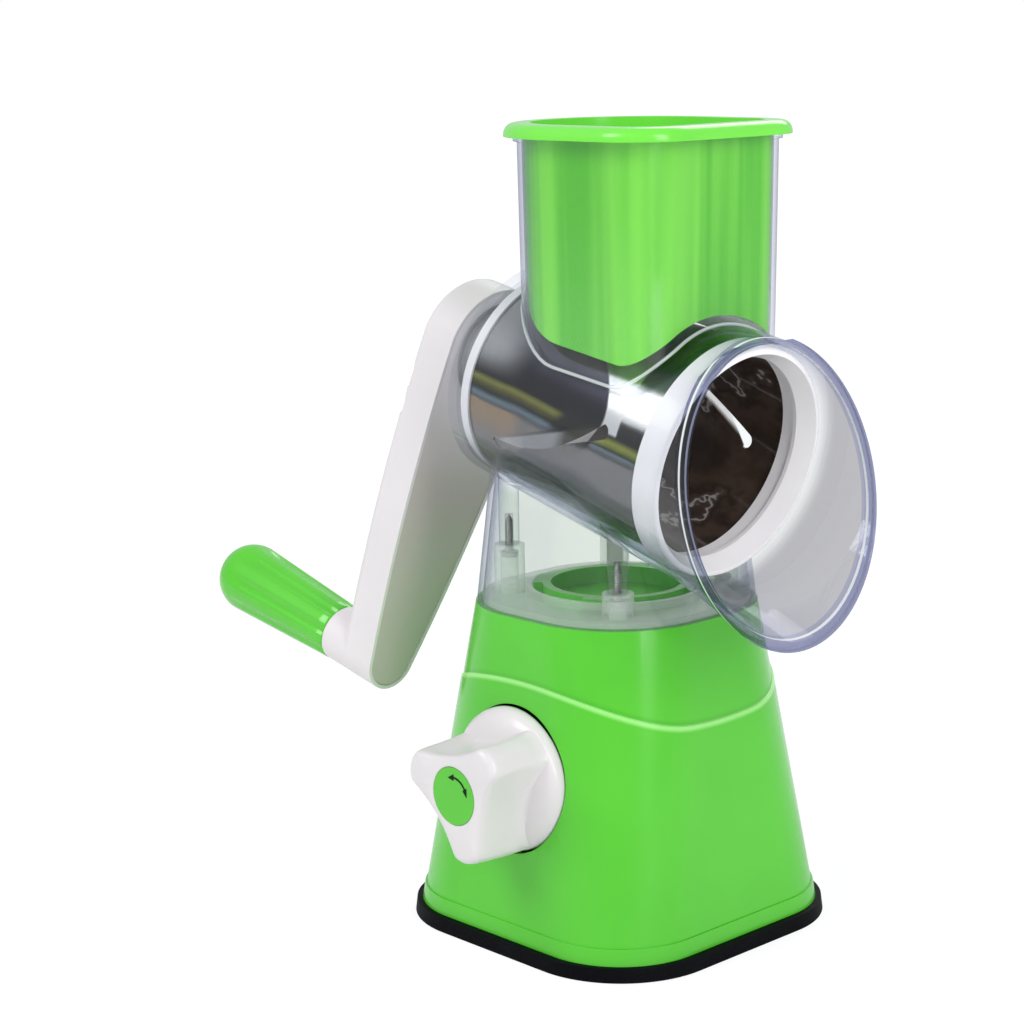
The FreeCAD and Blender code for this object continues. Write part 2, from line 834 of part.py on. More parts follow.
def make_pull_stem():
    """Stem that draws the cup up, with a yoke that the cam lifts."""
    reach = math.hypot(dim.cam_radius.value + dim.cam_lift.value, cam_rise(dim.cam_lift.value))
    follower = dim.knob_height + dim.cam_radius + dim.cam_lift + dim.shaft_fit
    opening_bottom = dim.knob_height - dim.cam_radius - dim.yoke_gap
    inner_width = (dim.cam_radius + dim.cam_lift + dim.yoke_gap) * 2 + (reach - dim.cam_radius.value
                                                                        - dim.cam_lift.value) * 2
    outer = box("yoke_block", inner_width + dim.yoke_bar * 2, dim.cam_width,
                follower - opening_bottom + dim.yoke_bar * 2, dim.knob_x, 0, opening_bottom - dim.yoke_bar)
    window = box("yoke_window", inner_width, dim.cam_width * 2, follower - opening_bottom, dim.knob_x, 0,
                 opening_bottom)
    rod = cylinder("stem_rod", dim.stem_radius, dim.cup_depth, opening_bottom - dim.cup_depth - dim.yoke_bar / 2)
    flange = cylinder("stem_flange", dim.washer_radius - dim.cup_skin,
                      dim.cup_depth + dim.cup_skin + dim.cup_boss_height, dim.cup_skin)
    return fuse("pull_stem", [cut("yoke", outer, window), rod, flange])


def cam_rise(lift):
    """Lift per radian of a cam that lifts evenly over a quarter turn."""
    return lift / (math.pi / 2)


def cam_shape():
    """The cam's outline: an involute above, a round heel below.

    A flat follower rests on the point whose normal points at it, so an outline
    whose support grows evenly with the angle lifts the stem evenly.
    """
    heel, lift = dim.cam_radius.value, dim.cam_lift.value
    rate = cam_rise(lift)
    flank = []
    steps = 12
    for number in range(steps + 1):
        angle = math.pi / 2 * number / steps
        support = heel + rate * angle
        flank.append(FreeCAD.Vector(support * math.cos(angle) - rate * math.sin(angle),
                                    support * math.sin(angle) + rate * math.cos(angle), 0))
    curve = Part.BSplineCurve()
    curve.interpolate(flank, InitialTangent=FreeCAD.Vector(0, 1, 0), FinalTangent=FreeCAD.Vector(-1, 0, 0))
    right = FreeCAD.Vector(heel, 0, 0)
    left = FreeCAD.Vector(-heel, 0, 0)
    edges = [Part.makeLine(right, flank[0]), curve.toShape(), Part.makeLine(flank[-1], left),
             Part.Arc(left, FreeCAD.Vector(0, -heel, 0), right).toShape()]
    width = dim.cam_width.value
    prism = Part.Face(Part.Wire(edges)).extrude(FreeCAD.Vector(0, 0, width))
    prism.translate(FreeCAD.Vector(0, 0, -width / 2))
    cam = DOC.addObject("Part::Feature", "cam")
    cam.Shape = prism
    return cam


def make_cam_shaft():
    """Shaft with the cam in the middle and a groove for the clip."""
    shaft = cylinder("shaft_rod", dim.shaft_radius, -dim.shaft_rear, dim.shaft_rear + dim.knob_socket)
    body = fuse("cam_shaft_solid", [shaft, cam_shape()])
    groove = cut("clip_groove", cylinder("groove_outer", dim.shaft_radius * 2, -clip_top(), dim.clip_thickness),
                 cylinder("groove_inner", dim.shaft_radius - dim.clip_depth, -clip_top() - 1, 4))
    pilot = cylinder("shaft_pilot", dim.screw_radius, dim.knob_socket - dim.knob_screw_bite,
                     dim.knob_screw_bite)
    return on_knob(cut("cam_shaft", body, groove, pilot))


def clip_top():
    """Distance of the clip's far face behind the shaft's middle."""
    return dim.bearing_span + dim.bearing_block / 2 + dim.shaft_end_play + dim.clip_thickness


def make_shaft_clip():
    """Retaining clip behind the rear bearing."""
    ring = cylinder("clip_disc", dim.shaft_radius + dim.clip_reach, -clip_top(), dim.clip_thickness)
    bore = cylinder("clip_bore", dim.shaft_radius - dim.clip_depth, -clip_top() - 1, dim.clip_thickness + 2)
    return on_knob(cut("shaft_clip", ring, bore))


def make_knob():
    """White knob: three lobes on a domed flange."""
    knob = Body("knob_solid")
    flange_top = dim.knob_back + dim.flange_edge
    height = dim.knob_face - flange_top
    draft = slope(dim.lobe_flare, height)
    disc = knob.sketch(height=flange_top)
    circle(disc, dim.lobe_radius + dim.lobe_flare)
    knob.pad(disc, height, TaperAngle=-draft)
    spin = dim.lobe_phase + CIRCLE / (dim.lobe_count * 2) - CIRCLE / 2
    hollow = knob.sketch(height=dim.knob_face, spin=spin)
    circle(hollow, dim.lobe_hollow_radius, -dim.lobe_hollow_radius - dim.lobe_waist)
    knob.polar(knob.pocket(hollow, height, TaperAngle=-draft), dim.lobe_count)
    tall = height.value / 2
    knob.fillet(dim.lobe_round, lambda edge: edge.BoundBox.ZLength > tall)
    face = dim.knob_face.value
    knob.fillet(dim.knob_edge_round, lambda edge: edge.BoundBox.ZMin > face - 0.01)
    profile = knob.sketch("XZ_Plane")
    outline(profile, [
        (0, dim.knob_back),
        (dim.flange_radius - dim.knob_hole_gap, dim.knob_back),
        (dim.flange_radius, flange_top),
        (dim.lobe_waist, flange_top + dim.flange_dome, dim.flange_arc),
        (0, flange_top + dim.flange_dome),
    ])
    knob.revolve(profile)
    socket = cylinder("knob_socket_bore", dim.shaft_radius, dim.knob_back - 1, dim.knob_socket - dim.knob_back + 1)
    hole = cylinder("knob_screw_hole", dim.screw_radius, dim.knob_socket, dim.knob_face)
    seat = cylinder("knob_screw_seat", dim.screw_head_radius + dim.knob_hole_gap,
                    dim.knob_socket + dim.boss_floor, dim.knob_face)
    recess = cylinder("badge_recess", dim.badge_radius + dim.badge_gap, dim.knob_face - dim.badge_thickness,
                      dim.knob_face)
    return on_knob(cut("knob", knob.body, socket, hole, seat, recess))


def make_knob_badge():
    """Round green badge set in the knob's face."""
    disc = cylinder("badge_disc", dim.badge_radius, dim.knob_face - dim.badge_thickness, dim.badge_thickness)
    return on_knob(group("knob_badge", [disc]))


def make_knob_screw():
    """Screw under the badge that holds the knob on its shaft."""
    seat = dim.knob_socket + dim.boss_floor
    shank = cylinder("knob_screw_shank", dim.screw_radius, dim.knob_socket - dim.knob_screw_bite,
                     dim.knob_screw_bite + dim.boss_floor)
    head = cylinder("knob_screw_head", dim.screw_head_radius, seat, dim.screw_head_height)
    return on_knob(fuse("knob_screw", [shank, head]))


# --------------------------------------------------------------- clear housing


def barrel_radius(station):
    """Outer radius of the barrel at a station along its axis."""
    taper = (dim.barrel_front_radius - dim.barrel_rear_radius) / (dim.barrel_front + dim.barrel_rear)
    return dim.barrel_rear_radius + taper * (station + dim.barrel_rear)


def tower_plan(sketch, inset):
    """The tower's plan drawn in by inset: square at the mouth, round at the crank."""
    half_y = dim.tower_half_y - inset
    rounded_rectangle(sketch, dim.tower_half_x - inset, half_y, dim.tower_corner - inset, dim.tower_x,
                      half_y - dim.tower_back_flat)


def tower_block(name, inset, bottom, top):
    """A block of the tower's plan, drawn in by inset and slightly tapered."""
    body = Body(name)
    sketches = []
    for height in (bottom, top):
        sketch = body.sketch(height=height)
        tower_plan(sketch, inset + tower_taper(height))
        sketches.append(sketch)
    body.loft(*sketches)
    return body.body


def tower_taper(height):
    """How much narrower the tower is at a height than at its top."""
    return dim.tower_draft * (dim.tower_top - height) / (dim.tower_top - dim.barrel_z)


def skirt_block(name, inset, bottom, top):
    """A block of the skirt's plan between two heights, drawn in by inset."""
    def level(height):
        shrink = dim.skirt_draft * (height - dim.deck_height) / dim.skirt_height + inset
        return (dim.skirt_half - shrink, dim.skirt_half - shrink, dim.skirt_corner - shrink, height)

    return square_loft(name, [level(bottom), level(top)])


def flare_slab(name, length):
    """A block behind the flare's rim plane that reaches back by length."""
    side = dim.flare_radius * 4
    block = DOC.addObject("Part::Box", name)
    bind(block, Length=length, Width=side, Height=side)
    centred = place(block, -length, -side / 2, -side / 2)
    return place(group(name + "_leaning", [centred]), dim.flare_plane_x, 0, dim.flare_plane_z,
                 FreeCAD.Vector(0, 1, 0), -dim.flare_lean)


def flare_cone(name, grow):
    """The flare's cone from the barrel's front, grown outwards."""
    piece = cone(name, dim.barrel_front_radius + grow, dim.flare_radius + grow, dim.barrel_front,
                 dim.flare_length)
    return on_barrel(group(name + "_turned", [piece]))


def barrel_cone(name, inset, rear, front):
    """The barrel's cone between two stations, drawn in by inset."""
    piece = cone(name, barrel_radius(rear) - inset, barrel_radius(front) - inset, rear, front - rear)
    return on_barrel(group(name + "_turned", [piece]))


def housing_post(name, x, y):
    """A screw post that hangs from the barrel onto the bottom plate."""
    rear = x.value < 0
    return cylinder(name, dim.post_radius, boss_top(rear), dim.barrel_z - boss_top(rear), x, y)


def boss_top(rear):
    """Height of the bottom plate's bosses, taller under the barrel's rear."""
    height = dim.rear_boss_height if rear else dim.front_boss_height
    return dim.deck_height + dim.running_gap + height


def housing_screw_shank(name, x, y):
    """The shank of a screw that ties plate and housing together."""
    rear = x.value < 0
    return cylinder(name, dim.screw_radius, boss_top(rear) - dim.boss_floor,
                    dim.boss_floor + dim.screw_bite, x, y)


def make_housing():
    """Clear housing: barrel with flared mouth, feed tower and skirt in one."""
    barrel = barrel_cone("barrel_outer", 0, -dim.barrel_rear, dim.barrel_front)
    flare = common("flare_trimmed", flare_cone("flare_outer", 0), flare_slab("flare_slab", dim.flare_radius * 4))
    bead = common("flare_bead", flare_cone("flare_bead_cone", dim.flare_bead),
                  flare_slab("flare_bead_slab", dim.flare_bead_width))
    tower = tower_block("tower_outer", 0, dim.barrel_z, dim.tower_top)
    tower_rim = tower_block("tower_bead", -dim.tower_bead, dim.tower_top - dim.tower_bead_height, dim.tower_top)
    skirt_top = dim.deck_height + dim.skirt_height
    skirt = cut("skirt_wall", skirt_block("skirt_outer", 0, dim.deck_height + dim.seat_gap, skirt_top),
                skirt_block("skirt_inner", dim.clear_wall, dim.deck_height - 1, skirt_top + 1))
    bearing_outer = dim.sleeve_radius + dim.sleeve_fit + dim.bearing_wall
    bearing = on_barrel(group("bearing_turned", [
        cylinder("bearing_tube", bearing_outer, -dim.barrel_rear - dim.bearing_length,
                 dim.bearing_length + dim.end_wall)]))
    posts = at_corners("housing_post", housing_post, dim.boss_spacing)
    solid = fuse("housing_solid", [barrel, flare, bead, tower, tower_rim, skirt, bearing] + posts)
    hollow = barrel_cone("barrel_hollow", dim.clear_wall, dim.end_wall - dim.barrel_rear, dim.barrel_front)
    mouth = flare_cone("flare_hollow", -dim.clear_wall)
    shaft = tower_block("tower_hollow", dim.tower_wall, dim.barrel_z - dim.tower_wall, dim.tower_top + 1)
    bore = on_barrel(group("bearing_bore_turned", [
        cylinder("bearing_bore", dim.sleeve_radius + dim.sleeve_fit, -dim.barrel_rear - dim.bearing_length * 2,
                 dim.bearing_length * 3)]))
    pilots = at_corners("housing_pilot", housing_screw_shank, dim.boss_spacing)
    return cut("housing", solid, hollow, mouth, shaft, bore, *pilots)


def make_bayonet_plate():
    """Clear plate screwed into the skirt, with lugs that lock under the base's."""
    bottom = dim.deck_height + dim.running_gap
    top = bottom + dim.plate_thickness
    opening = dim.collar_radius + dim.lug_reach + dim.running_gap * 2
    plate = skirt_block("plate_disc", dim.clear_wall + dim.running_gap, bottom, top)
    ring = cylinder("plate_ring", opening + dim.plate_ring_wall, bottom, dim.plate_ring_height)

    def boss(name, x, y):
        return cylinder(name, dim.boss_radius, bottom, boss_top(x.value < 0) - bottom, x, y)

    def screw_way(name, x, y):
        return cylinder(name, dim.screw_head_radius + dim.running_gap, bottom - 1,
                        boss_top(x.value < 0) - dim.boss_floor - bottom + 1, x, y)

    def lug(name):
        sector = cylinder(name, opening + dim.plate_ring_wall / 2, bottom, dim.plate_thickness)
        bind(sector, Angle=dim.lug_sweep)
        return sector

    lugs = cut("plate_lugs", fuse("plate_lug_sectors", turned_copies("plate_lug", lug, dim.lug_count,
                                                                    dim.lug_phase)),
               cylinder("plate_lug_bore", dim.collar_radius + dim.running_gap, bottom - 1, dim.skirt_height))
    body = fuse("plate_body", [plate, ring] + at_corners("plate_boss", boss, dim.boss_spacing))
    drilled = cut("plate_drilled", body, cylinder("plate_opening", opening, bottom - 1, dim.skirt_height),
                  *at_corners("plate_screw_way", screw_way, dim.boss_spacing),
                  *at_corners("plate_screw_hole", housing_screw_shank, dim.boss_spacing))
    return fuse("bayonet_plate", [drilled, lugs])


def make_housing_screws():
    """Four screws that hold the bottom plate to the housing's posts."""
    def screw(name, x, y):
        seat = boss_top(x.value < 0) - dim.boss_floor
        head = cylinder(name + "_head", dim.screw_head_radius, seat - dim.screw_head_height,
                        dim.screw_head_height, x, y)
        return fuse(name, [housing_screw_shank(name + "_shank", x, y), head])

    return group("housing_screws", at_corners("housing_screw", screw, dim.boss_spacing))


# ------------------------------------------------------------------------ drum


def drum_radius(station):
    """Outer radius of the drum's sheet at a station along its axis."""
    taper = (dim.drum_front_radius - dim.drum_rear_radius) / (dim.drum_front + dim.drum_rear)
    return dim.drum_rear_radius + taper * (station + dim.drum_rear)


def slicer_slot(name):
    """A slanting slot through the sheet, under the cutting lip."""
    straight = dim.slot_length - dim.slot_width
    slot = Body(name)
    sketch = slot.sketch("YZ_Plane")
    end_radius = dim.slot_width / 2 + dim.end_round
    outline(sketch, [
        (0, -straight / 2, end_radius),
        (0, straight / 2),
        (-dim.slot_width, straight / 2, end_radius),
        (-dim.slot_width, -straight / 2),
    ])
    slot.pad(sketch, dim.drum_front_radius * 2)
    leaning = group(name + "_leaning", [slot.body])
    return place(leaning, 0, 0, dim.slot_centre, FreeCAD.Vector(1, 0, 0), dim.slot_slant)


def blade_shape(name):
    """A cutting lip pressed out over a slot, highest and widest in the middle.

    Along and across are measured in the plane that touches the drum at the
    middle of the slot's open edge. The lip hangs on the slot's other edge and
    its free edge stands clear, so that shreds pass under it into the drum.
    """
    half_length = dim.slot_length.value / 2 - dim.slot_width.value / 2
    slant = math.radians(dim.slot_slant.value)
    sheet, touch = dim.sheet.value, dim.blade_tail.value
    sections = []
    steps = int(dim.blade_steps.value)
    for number in range(steps + 1):
        share = 2 * number / steps - 1
        bulge = 1 - share * share
        hinge = -dim.slot_width.value - touch
        free = hinge + 2 * touch + (dim.slot_width.value + dim.blade_overhang.value - touch) * bulge
        lift = dim.blade_lift.value * bulge + touch / 4
        corners = []
        for across, height in ((hinge, 0), (free, lift), (free, lift - sheet), (hinge, -sheet)):
            station = share * half_length * math.cos(slant) + across * math.sin(slant)
            side = across * math.cos(slant) - share * half_length * math.sin(slant)
            surface = math.sqrt(drum_radius(dim.slot_centre + station).value ** 2 - side ** 2)
            corners.append(FreeCAD.Vector(surface + height, side, dim.slot_centre.value + station))
        sections.append(Part.makePolygon(corners + corners[:1]))
    blade = DOC.addObject("Part::Feature", name)
    blade.Shape = Part.makeLoft(sections, True, True)
    return blade


def make_drum_shell():
    """Steel slicing drum: a slightly conical sheet with raised slanting lips."""
    length = dim.drum_front + dim.drum_rear
    outer = cone("sheet_outer", dim.drum_rear_radius, dim.drum_front_radius, -dim.drum_rear, length)
    inner = cone("sheet_inner", dim.drum_rear_radius - dim.sheet, dim.drum_front_radius - dim.sheet,
                 -dim.drum_rear, length)
    slots = turned_copies("slicer_slot", slicer_slot, dim.slot_count, dim.slot_phase)
    blades = turned_copies("slicer_blade", blade_shape, dim.slot_count, dim.slot_phase)
    sheet = cut("slotted_sheet", cut("plain_sheet", outer, inner), *slots)
    return on_barrel(fuse("drum_shell", [sheet] + blades))


def make_drum_hub():
    """White rear disc of the drum with the keyed neck that enters the crank."""
    rear = -dim.drum_rear
    disc_radius = dim.drum_rear_radius - dim.sheet
    neck_end = rear - dim.neck_length
    thrust_face = dim.end_wall - dim.barrel_rear + dim.thrust_gap
    flange_radius = dim.drum_rear_radius + dim.hub_flange_lip
    hub = turned("hub_solid", [
        (dim.neck_radius - dim.neck_wall, neck_end),
        (dim.neck_radius, neck_end),
        (dim.neck_radius, thrust_face),
        (dim.thrust_radius, thrust_face),
        (dim.thrust_radius, rear - dim.hub_flange_width),
        (flange_radius, rear - dim.hub_flange_width),
        (flange_radius, rear),
        (disc_radius, rear),
        (disc_radius, rear + dim.hub_disc),
        (dim.neck_radius - dim.neck_wall, rear + dim.hub_disc),
    ])

    def key_way(name):
        return box(name, dim.key_depth * 2, dim.key_width, dim.key_length, dim.neck_radius, 0, neck_end)

    window = box("neck_window", dim.neck_radius * 2, dim.window, dim.window, dim.neck_radius, 0,
                 neck_end + dim.window_inset)
    turned_window = place(group("neck_window_turned", [window]), axis=FreeCAD.Vector(0, 0, 1),
                          angle=-dim.crank_angle)
    key_ways = turned_copies("neck_key_way", key_way, dim.key_count, QUARTER / 2 - dim.crank_angle)
    return on_barrel(cut("drum_hub", hub, turned_window, *key_ways))


def make_drum_ring():
    """White ring around the drum's open front."""
    back = dim.drum_front - dim.ring_seat
    front = dim.drum_front + dim.ring_length
    seat = drum_radius(dim.drum_front)
    seat_bore = seat - dim.sheet - dim.ring_seat_wall
    bore_end = front - dim.ring_dish - dim.ring_bore_length
    return on_barrel(turned("drum_ring", [
        (seat_bore, back),
        (drum_radius(dim.drum_front - dim.ring_seat) - dim.sheet, back),
        (seat - dim.sheet, dim.drum_front),
        (dim.ring_radius, dim.drum_front),
        (dim.ring_radius - dim.ring_taper, front - dim.ring_lip),
        (dim.ring_front_radius, front, dim.ring_lip),
        (dim.ring_front_radius - dim.ring_lip, front),
        (dim.ring_bore, front - dim.ring_dish),
        (dim.ring_bore, bore_end),
        (seat_bore, bore_end),
    ]))


# ----------------------------------------------------------------------- crank


def arm_outline(sketch, inset=0):
    """The arm's outline, from the hub to the grip's end, drawn in by inset."""
    hub, end = dim.hub_radius - inset, dim.end_radius - inset
    side = dim.side_radius - inset
    length = dim.crank_length
    reach_hub, reach_end = side - hub, side - end
    along = (reach_hub.value ** 2 - reach_end.value ** 2 + length.value ** 2) / (2 * length.value)
    depth = math.sqrt(reach_hub.value ** 2 - along ** 2)
    hub_touch = math.degrees(math.atan2(depth, -along))
    end_touch = math.degrees(math.atan2(depth, length.value - along))
    spots = [((0, 0), hub, hub_touch, CIRCLE - hub_touch),
             ((along, depth), side, -hub_touch, -end_touch),
             ((length.value, 0), end, -end_touch, end_touch),
             ((along, -depth), side, end_touch, hub_touch)]
    arcs = []
    for middle, radius, first, last in spots:
        round_edge = Part.Circle(vector(middle), FreeCAD.Vector(0, 0, 1), radius.value)
        arc = Part.ArcOfCircle(round_edge, math.radians(first), math.radians(last))
        arcs.append(sketch.addGeometry(arc, False))
    hub_arc, lower, end_arc, upper = arcs
    for first, first_end, second, second_end in ((hub_arc, 2, lower, 1), (lower, 2, end_arc, 1),
                                                 (end_arc, 2, upper, 1), (upper, 2, hub_arc, 1)):
        sketch.addConstraint(Sketcher.Constraint("Tangent", first, first_end, second, second_end))
    pin(sketch, hub_arc, 3, (0, 0))
    pin(sketch, end_arc, 3, (length, 0))
    for index, radius in zip(arcs, (hub, side, end, side)):
        limit_radius(sketch, index, radius)


def on_crank(target, x=0):
    """Turn an object drawn about Z, with X along the arm, into its place."""
    moved = place(group(target.Name + "_along_arm", [target]), x)
    swung = group(target.Name + "_swung", [moved])
    return place(swung, axis=FreeCAD.Vector(0, 0, 1), angle=-dim.crank_angle)


def arm_face():
    """Station of the arm's outer face."""
    return -dim.arm_inner - dim.arm_depth


def neck_end():
    """Station where the drum's neck ends inside the arm."""
    return -dim.drum_rear - dim.neck_length


def latch_middle():
    """Station of the middle of the neck's window and of the latch."""
    return neck_end() + dim.window_inset + dim.window / 2


def make_crank_arm():
    """Hollow crank arm with the keyed sleeve that carries the drum's neck."""
    arm = Body("arm_solid")
    solid = arm.sketch(height=arm_face())
    arm_outline(solid)
    arm.pad(solid, dim.arm_depth)
    outer_face = arm_face().value
    arm.fillet(dim.arm_round, lambda edge: edge.BoundBox.ZMax < outer_face + 0.01)
    hollow = arm.sketch(height=-dim.arm_inner)
    arm_outline(hollow, dim.arm_wall)
    arm.pocket(hollow, dim.arm_depth - dim.arm_wall)
    ledge = arm.sketch(height=-dim.arm_inner)
    arm_outline(ledge, dim.cover_inset)
    arm.pocket(ledge, dim.cover_recess + dim.cover_thickness)
    floor = arm_face() + dim.arm_wall
    sleeve_end = -dim.barrel_rear - dim.sleeve_end_gap
    sleeve = cylinder("sleeve_outer", dim.sleeve_radius, floor, sleeve_end - floor)
    boss = place(group("arm_boss_moved", [
        cylinder("arm_boss", dim.arm_boss_radius, arm_face() - dim.arm_boss_length,
                 dim.arm_boss_length + dim.arm_wall)]), dim.crank_length)
    bore = cylinder("sleeve_bore", dim.neck_radius + dim.sleeve_fit, floor, sleeve_end - floor)
    axle_hole = place(group("axle_hole_moved", [
        cylinder("axle_hole", dim.axle_radius, arm_face() - dim.grip_length, dim.grip_length * 2)]),
        dim.crank_length)
    tooth_way = box("latch_tooth_way", dim.neck_radius, dim.window, dim.window,
                    dim.neck_radius * 1.5 - dim.key_depth, 0, latch_middle() - dim.window / 2)
    slot_length = dim.latch_stem_length + dim.latch_travel + dim.latch_gap * 2
    stem_way = box("latch_stem_way", slot_length, dim.latch_bar_width + dim.latch_gap * 2, dim.arm_wall * 3,
                   dim.latch_stem_x + dim.latch_travel / 2, 0, arm_face() - dim.arm_wall)
    whole = cut("arm_bored", fuse("arm_with_sleeve", [arm.body, sleeve, boss]), bore, axle_hole, tooth_way,
                stem_way)

    def key(name):
        inner = dim.neck_radius - dim.key_depth + dim.key_gap
        return box(name, dim.key_depth * 2, dim.key_width - dim.key_gap * 2,
                   dim.key_length - dim.thrust_gap, inner + dim.key_depth, 0, neck_end())

    keys = turned_copies("sleeve_key", key, dim.key_count, QUARTER / 2)
    return on_barrel(group("crank_arm", [on_crank(fuse("arm_keyed", [whole] + keys))]))


def make_crank_cover():
    """Flat cover that closes the hollow side of the arm."""
    cover = Body("cover_plate")
    sketch = cover.sketch(height=-dim.arm_inner - dim.cover_recess - dim.cover_thickness)
    arm_outline(sketch, dim.cover_inset + dim.cover_gap)
    cover.pad(sketch, dim.cover_thickness)
    hole = cylinder("cover_hole", dim.sleeve_radius + dim.cover_gap, arm_face(), dim.arm_depth)
    return on_barrel(group("crank_cover", [on_crank(cut("cover_holed", cover.body, hole))]))


def make_latch_slide():
    """Thumb slide whose tooth locks the drum's neck in the crank."""
    tooth_tip = dim.neck_radius - dim.latch_bite
    bar_start = dim.sleeve_radius + dim.latch_gap * 2
    thickness = dim.window - dim.latch_gap * 2
    bottom = latch_middle() - thickness / 2
    tooth_length = bar_start - tooth_tip + dim.latch_stem_length
    tooth = box("latch_tooth", tooth_length, thickness, thickness, tooth_tip + tooth_length / 2, 0, bottom)
    bar_length = dim.latch_bar_end - bar_start
    bar = box("latch_bar", bar_length, dim.latch_bar_width, thickness, bar_start + bar_length / 2, 0, bottom)
    pad_top = arm_face() - dim.latch_pad_gap
    stem = box("latch_stem", dim.latch_stem_length, dim.latch_bar_width, bottom - pad_top, dim.latch_stem_x, 0,
               pad_top)
    pad = box("latch_pad", dim.latch_pad_width, dim.latch_pad_width, dim.latch_pad_thickness,
              dim.latch_stem_x, 0, pad_top - dim.latch_pad_thickness)
    return on_barrel(group("latch_slide", [on_crank(fuse("latch_solid", [tooth, bar, stem, pad]))]))


# ------------------------------------------------------------------------ grip


def grip_start():
    """Station where the grip begins."""
    return arm_face() - dim.arm_boss_length - dim.grip_gap


def make_grip_axle():
    """Steel axle riveted into the arm's boss, with a head inside the grip."""
    floor = arm_face() + dim.arm_wall
    end = grip_start() - dim.axle_length
    axle = turned("axle_solid", [
        (0, end),
        (dim.axle_radius + dim.axle_head, end),
        (dim.axle_radius + dim.axle_head, end + dim.axle_head_length),
        (dim.axle_radius, end + dim.axle_head_length),
        (dim.axle_radius, floor),
        (dim.axle_radius + dim.axle_head, floor),
        (dim.axle_radius + dim.axle_head, floor + dim.axle_head_length),
        (0, floor + dim.axle_head_length),
    ])
    return on_barrel(group("grip_axle", [on_crank(axle, dim.crank_length)]))


def make_grip():
    """Green grip, wider at its domed end, with shallow flutes."""
    start = grip_start()
    shoulder = start - dim.grip_length + dim.grip_gap
    bore = dim.axle_radius + dim.axle_fit
    cavity = bore + dim.axle_head + dim.grip_gap
    cavity_bottom = start - dim.axle_length - dim.grip_gap
    cavity_top = start - dim.axle_length + dim.axle_head_length + dim.grip_gap
    dome_radius = (dim.grip_far_radius * dim.grip_far_radius / dim.grip_dome + dim.grip_dome) / 2
    solid = turned("grip_solid", [
        (0, shoulder - dim.grip_dome),
        (dim.grip_far_radius, shoulder, dome_radius),
        (dim.grip_near_radius, start),
        (bore, start),
        (bore, cavity_top),
        (cavity, cavity_top),
        (cavity, cavity_bottom),
        (0, cavity_bottom),
    ])
    lean = slope(dim.grip_far_radius - dim.grip_near_radius, dim.grip_length)

    def flute(name):
        tool = group(name + "_tool", [
            cylinder(name, dim.flute_radius, dim.flute_stop - dim.grip_length, dim.grip_length * 2)])
        return place(tool, dim.grip_near_radius + dim.flute_radius - dim.flute_depth, 0, start,
                     FreeCAD.Vector(0, 1, 0), -lean)

    flutes = turned_copies("grip_flute", flute, dim.flute_count)
    return on_barrel(group("grip", [on_crank(cut("grip_fluted", solid, *flutes), dim.crank_length)]))


# ---------------------------------------------------------------------- pusher


def make_pusher():
    """Green hollow pusher with a saddle bottom and a rim on the tower."""
    inset = dim.tower_wall + dim.pusher_gap
    rim_bottom = dim.tower_top + dim.rim_gap
    rim_top = rim_bottom + dim.rim_height
    rim = Body("pusher_rim")
    sketch = rim.sketch(height=rim_bottom)
    tower_plan(sketch, -dim.rim_reach)
    rim.pad(sketch, dim.rim_height)
    flat = rim_top.value - 0.01
    rim.fillet(dim.rim_round, lambda edge: edge.BoundBox.ZMin > flat)
    outer = tower_block("pusher_outer", inset, dim.barrel_z, rim_top - dim.rim_round)
    inner = tower_block("pusher_inner", inset + dim.pusher_wall, dim.barrel_z, rim_top + dim.rim_round)
    saddle = barrel_cone("pusher_saddle", -dim.pusher_clearance, -dim.barrel_rear, dim.flare_length * 2)
    floor = barrel_cone("pusher_floor", -dim.pusher_clearance - dim.pusher_wall, -dim.barrel_rear,
                        dim.flare_length * 2)
    hollow = cut("pusher_hollow", inner, floor)
    return cut("pusher", fuse("pusher_solid", [outer, rim.body]), saddle, hollow)


# -------------------------------------------------------------------- sub-parts


SUB_PARTS = {
    "base_shell": make_base_shell,
    "foot_ring": make_foot_ring,
    "suction_cup": make_suction_cup,
    "suction_frame": make_suction_frame,
    "frame_screws": make_frame_screws,
    "pull_stem": make_pull_stem,
    "cam_shaft": make_cam_shaft,
    "shaft_clip": make_shaft_clip,
    "knob": make_knob,
    "knob_badge": make_knob_badge,
    "knob_screw": make_knob_screw,
    "housing": make_housing,
    "bayonet_plate": make_bayonet_plate,
    "housing_screws": make_housing_screws,
    "drum_shell": make_drum_shell,
    "drum_hub": make_drum_hub,
    "drum_ring": make_drum_ring,
    "crank_arm": make_crank_arm,
    "crank_cover": make_crank_cover,
    "latch_slide": make_latch_slide,
    "grip_axle": make_grip_axle,
    "grip": make_grip,
    "pusher": make_pusher,
}


def build():
    """Make every sub-part and label it with its node's name."""
    made = {}
    for name, make in SUB_PARTS.items():
        made[name] = make()
        made[name].Label = name
    DOC.recompute()
    return made


def check(made):
    """Stop the build if anything in the document failed."""
    for item in DOC.Objects:
        if "Invalid" in item.State or "Error" in item.State:
            raise RuntimeError("{} did not compute".format(item.Label))
    for name, item in made.items():
        if item.Shape.isNull() or not item.Shape.isValid():
            raise RuntimeError("{} has no valid shape".format(name))


def export(made):
    """Write one STEP file per sub-part."""
    os.makedirs("parts", exist_ok=True)
    for name, item in made.items():
        item.Shape.exportStep("parts/{}.step".format(name))


sub_parts = build()
check(sub_parts)
export(sub_parts)
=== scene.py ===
"""Looks of a hand-cranked rotary shredder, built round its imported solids.

The green base stands on a rubber foot and holds a suction cup that a three-lobed
knob works. A clear housing twists on to the base, a slotted steel drum turns in its
barrel on a white crank, and a green pusher slides in its feed tower.
"""

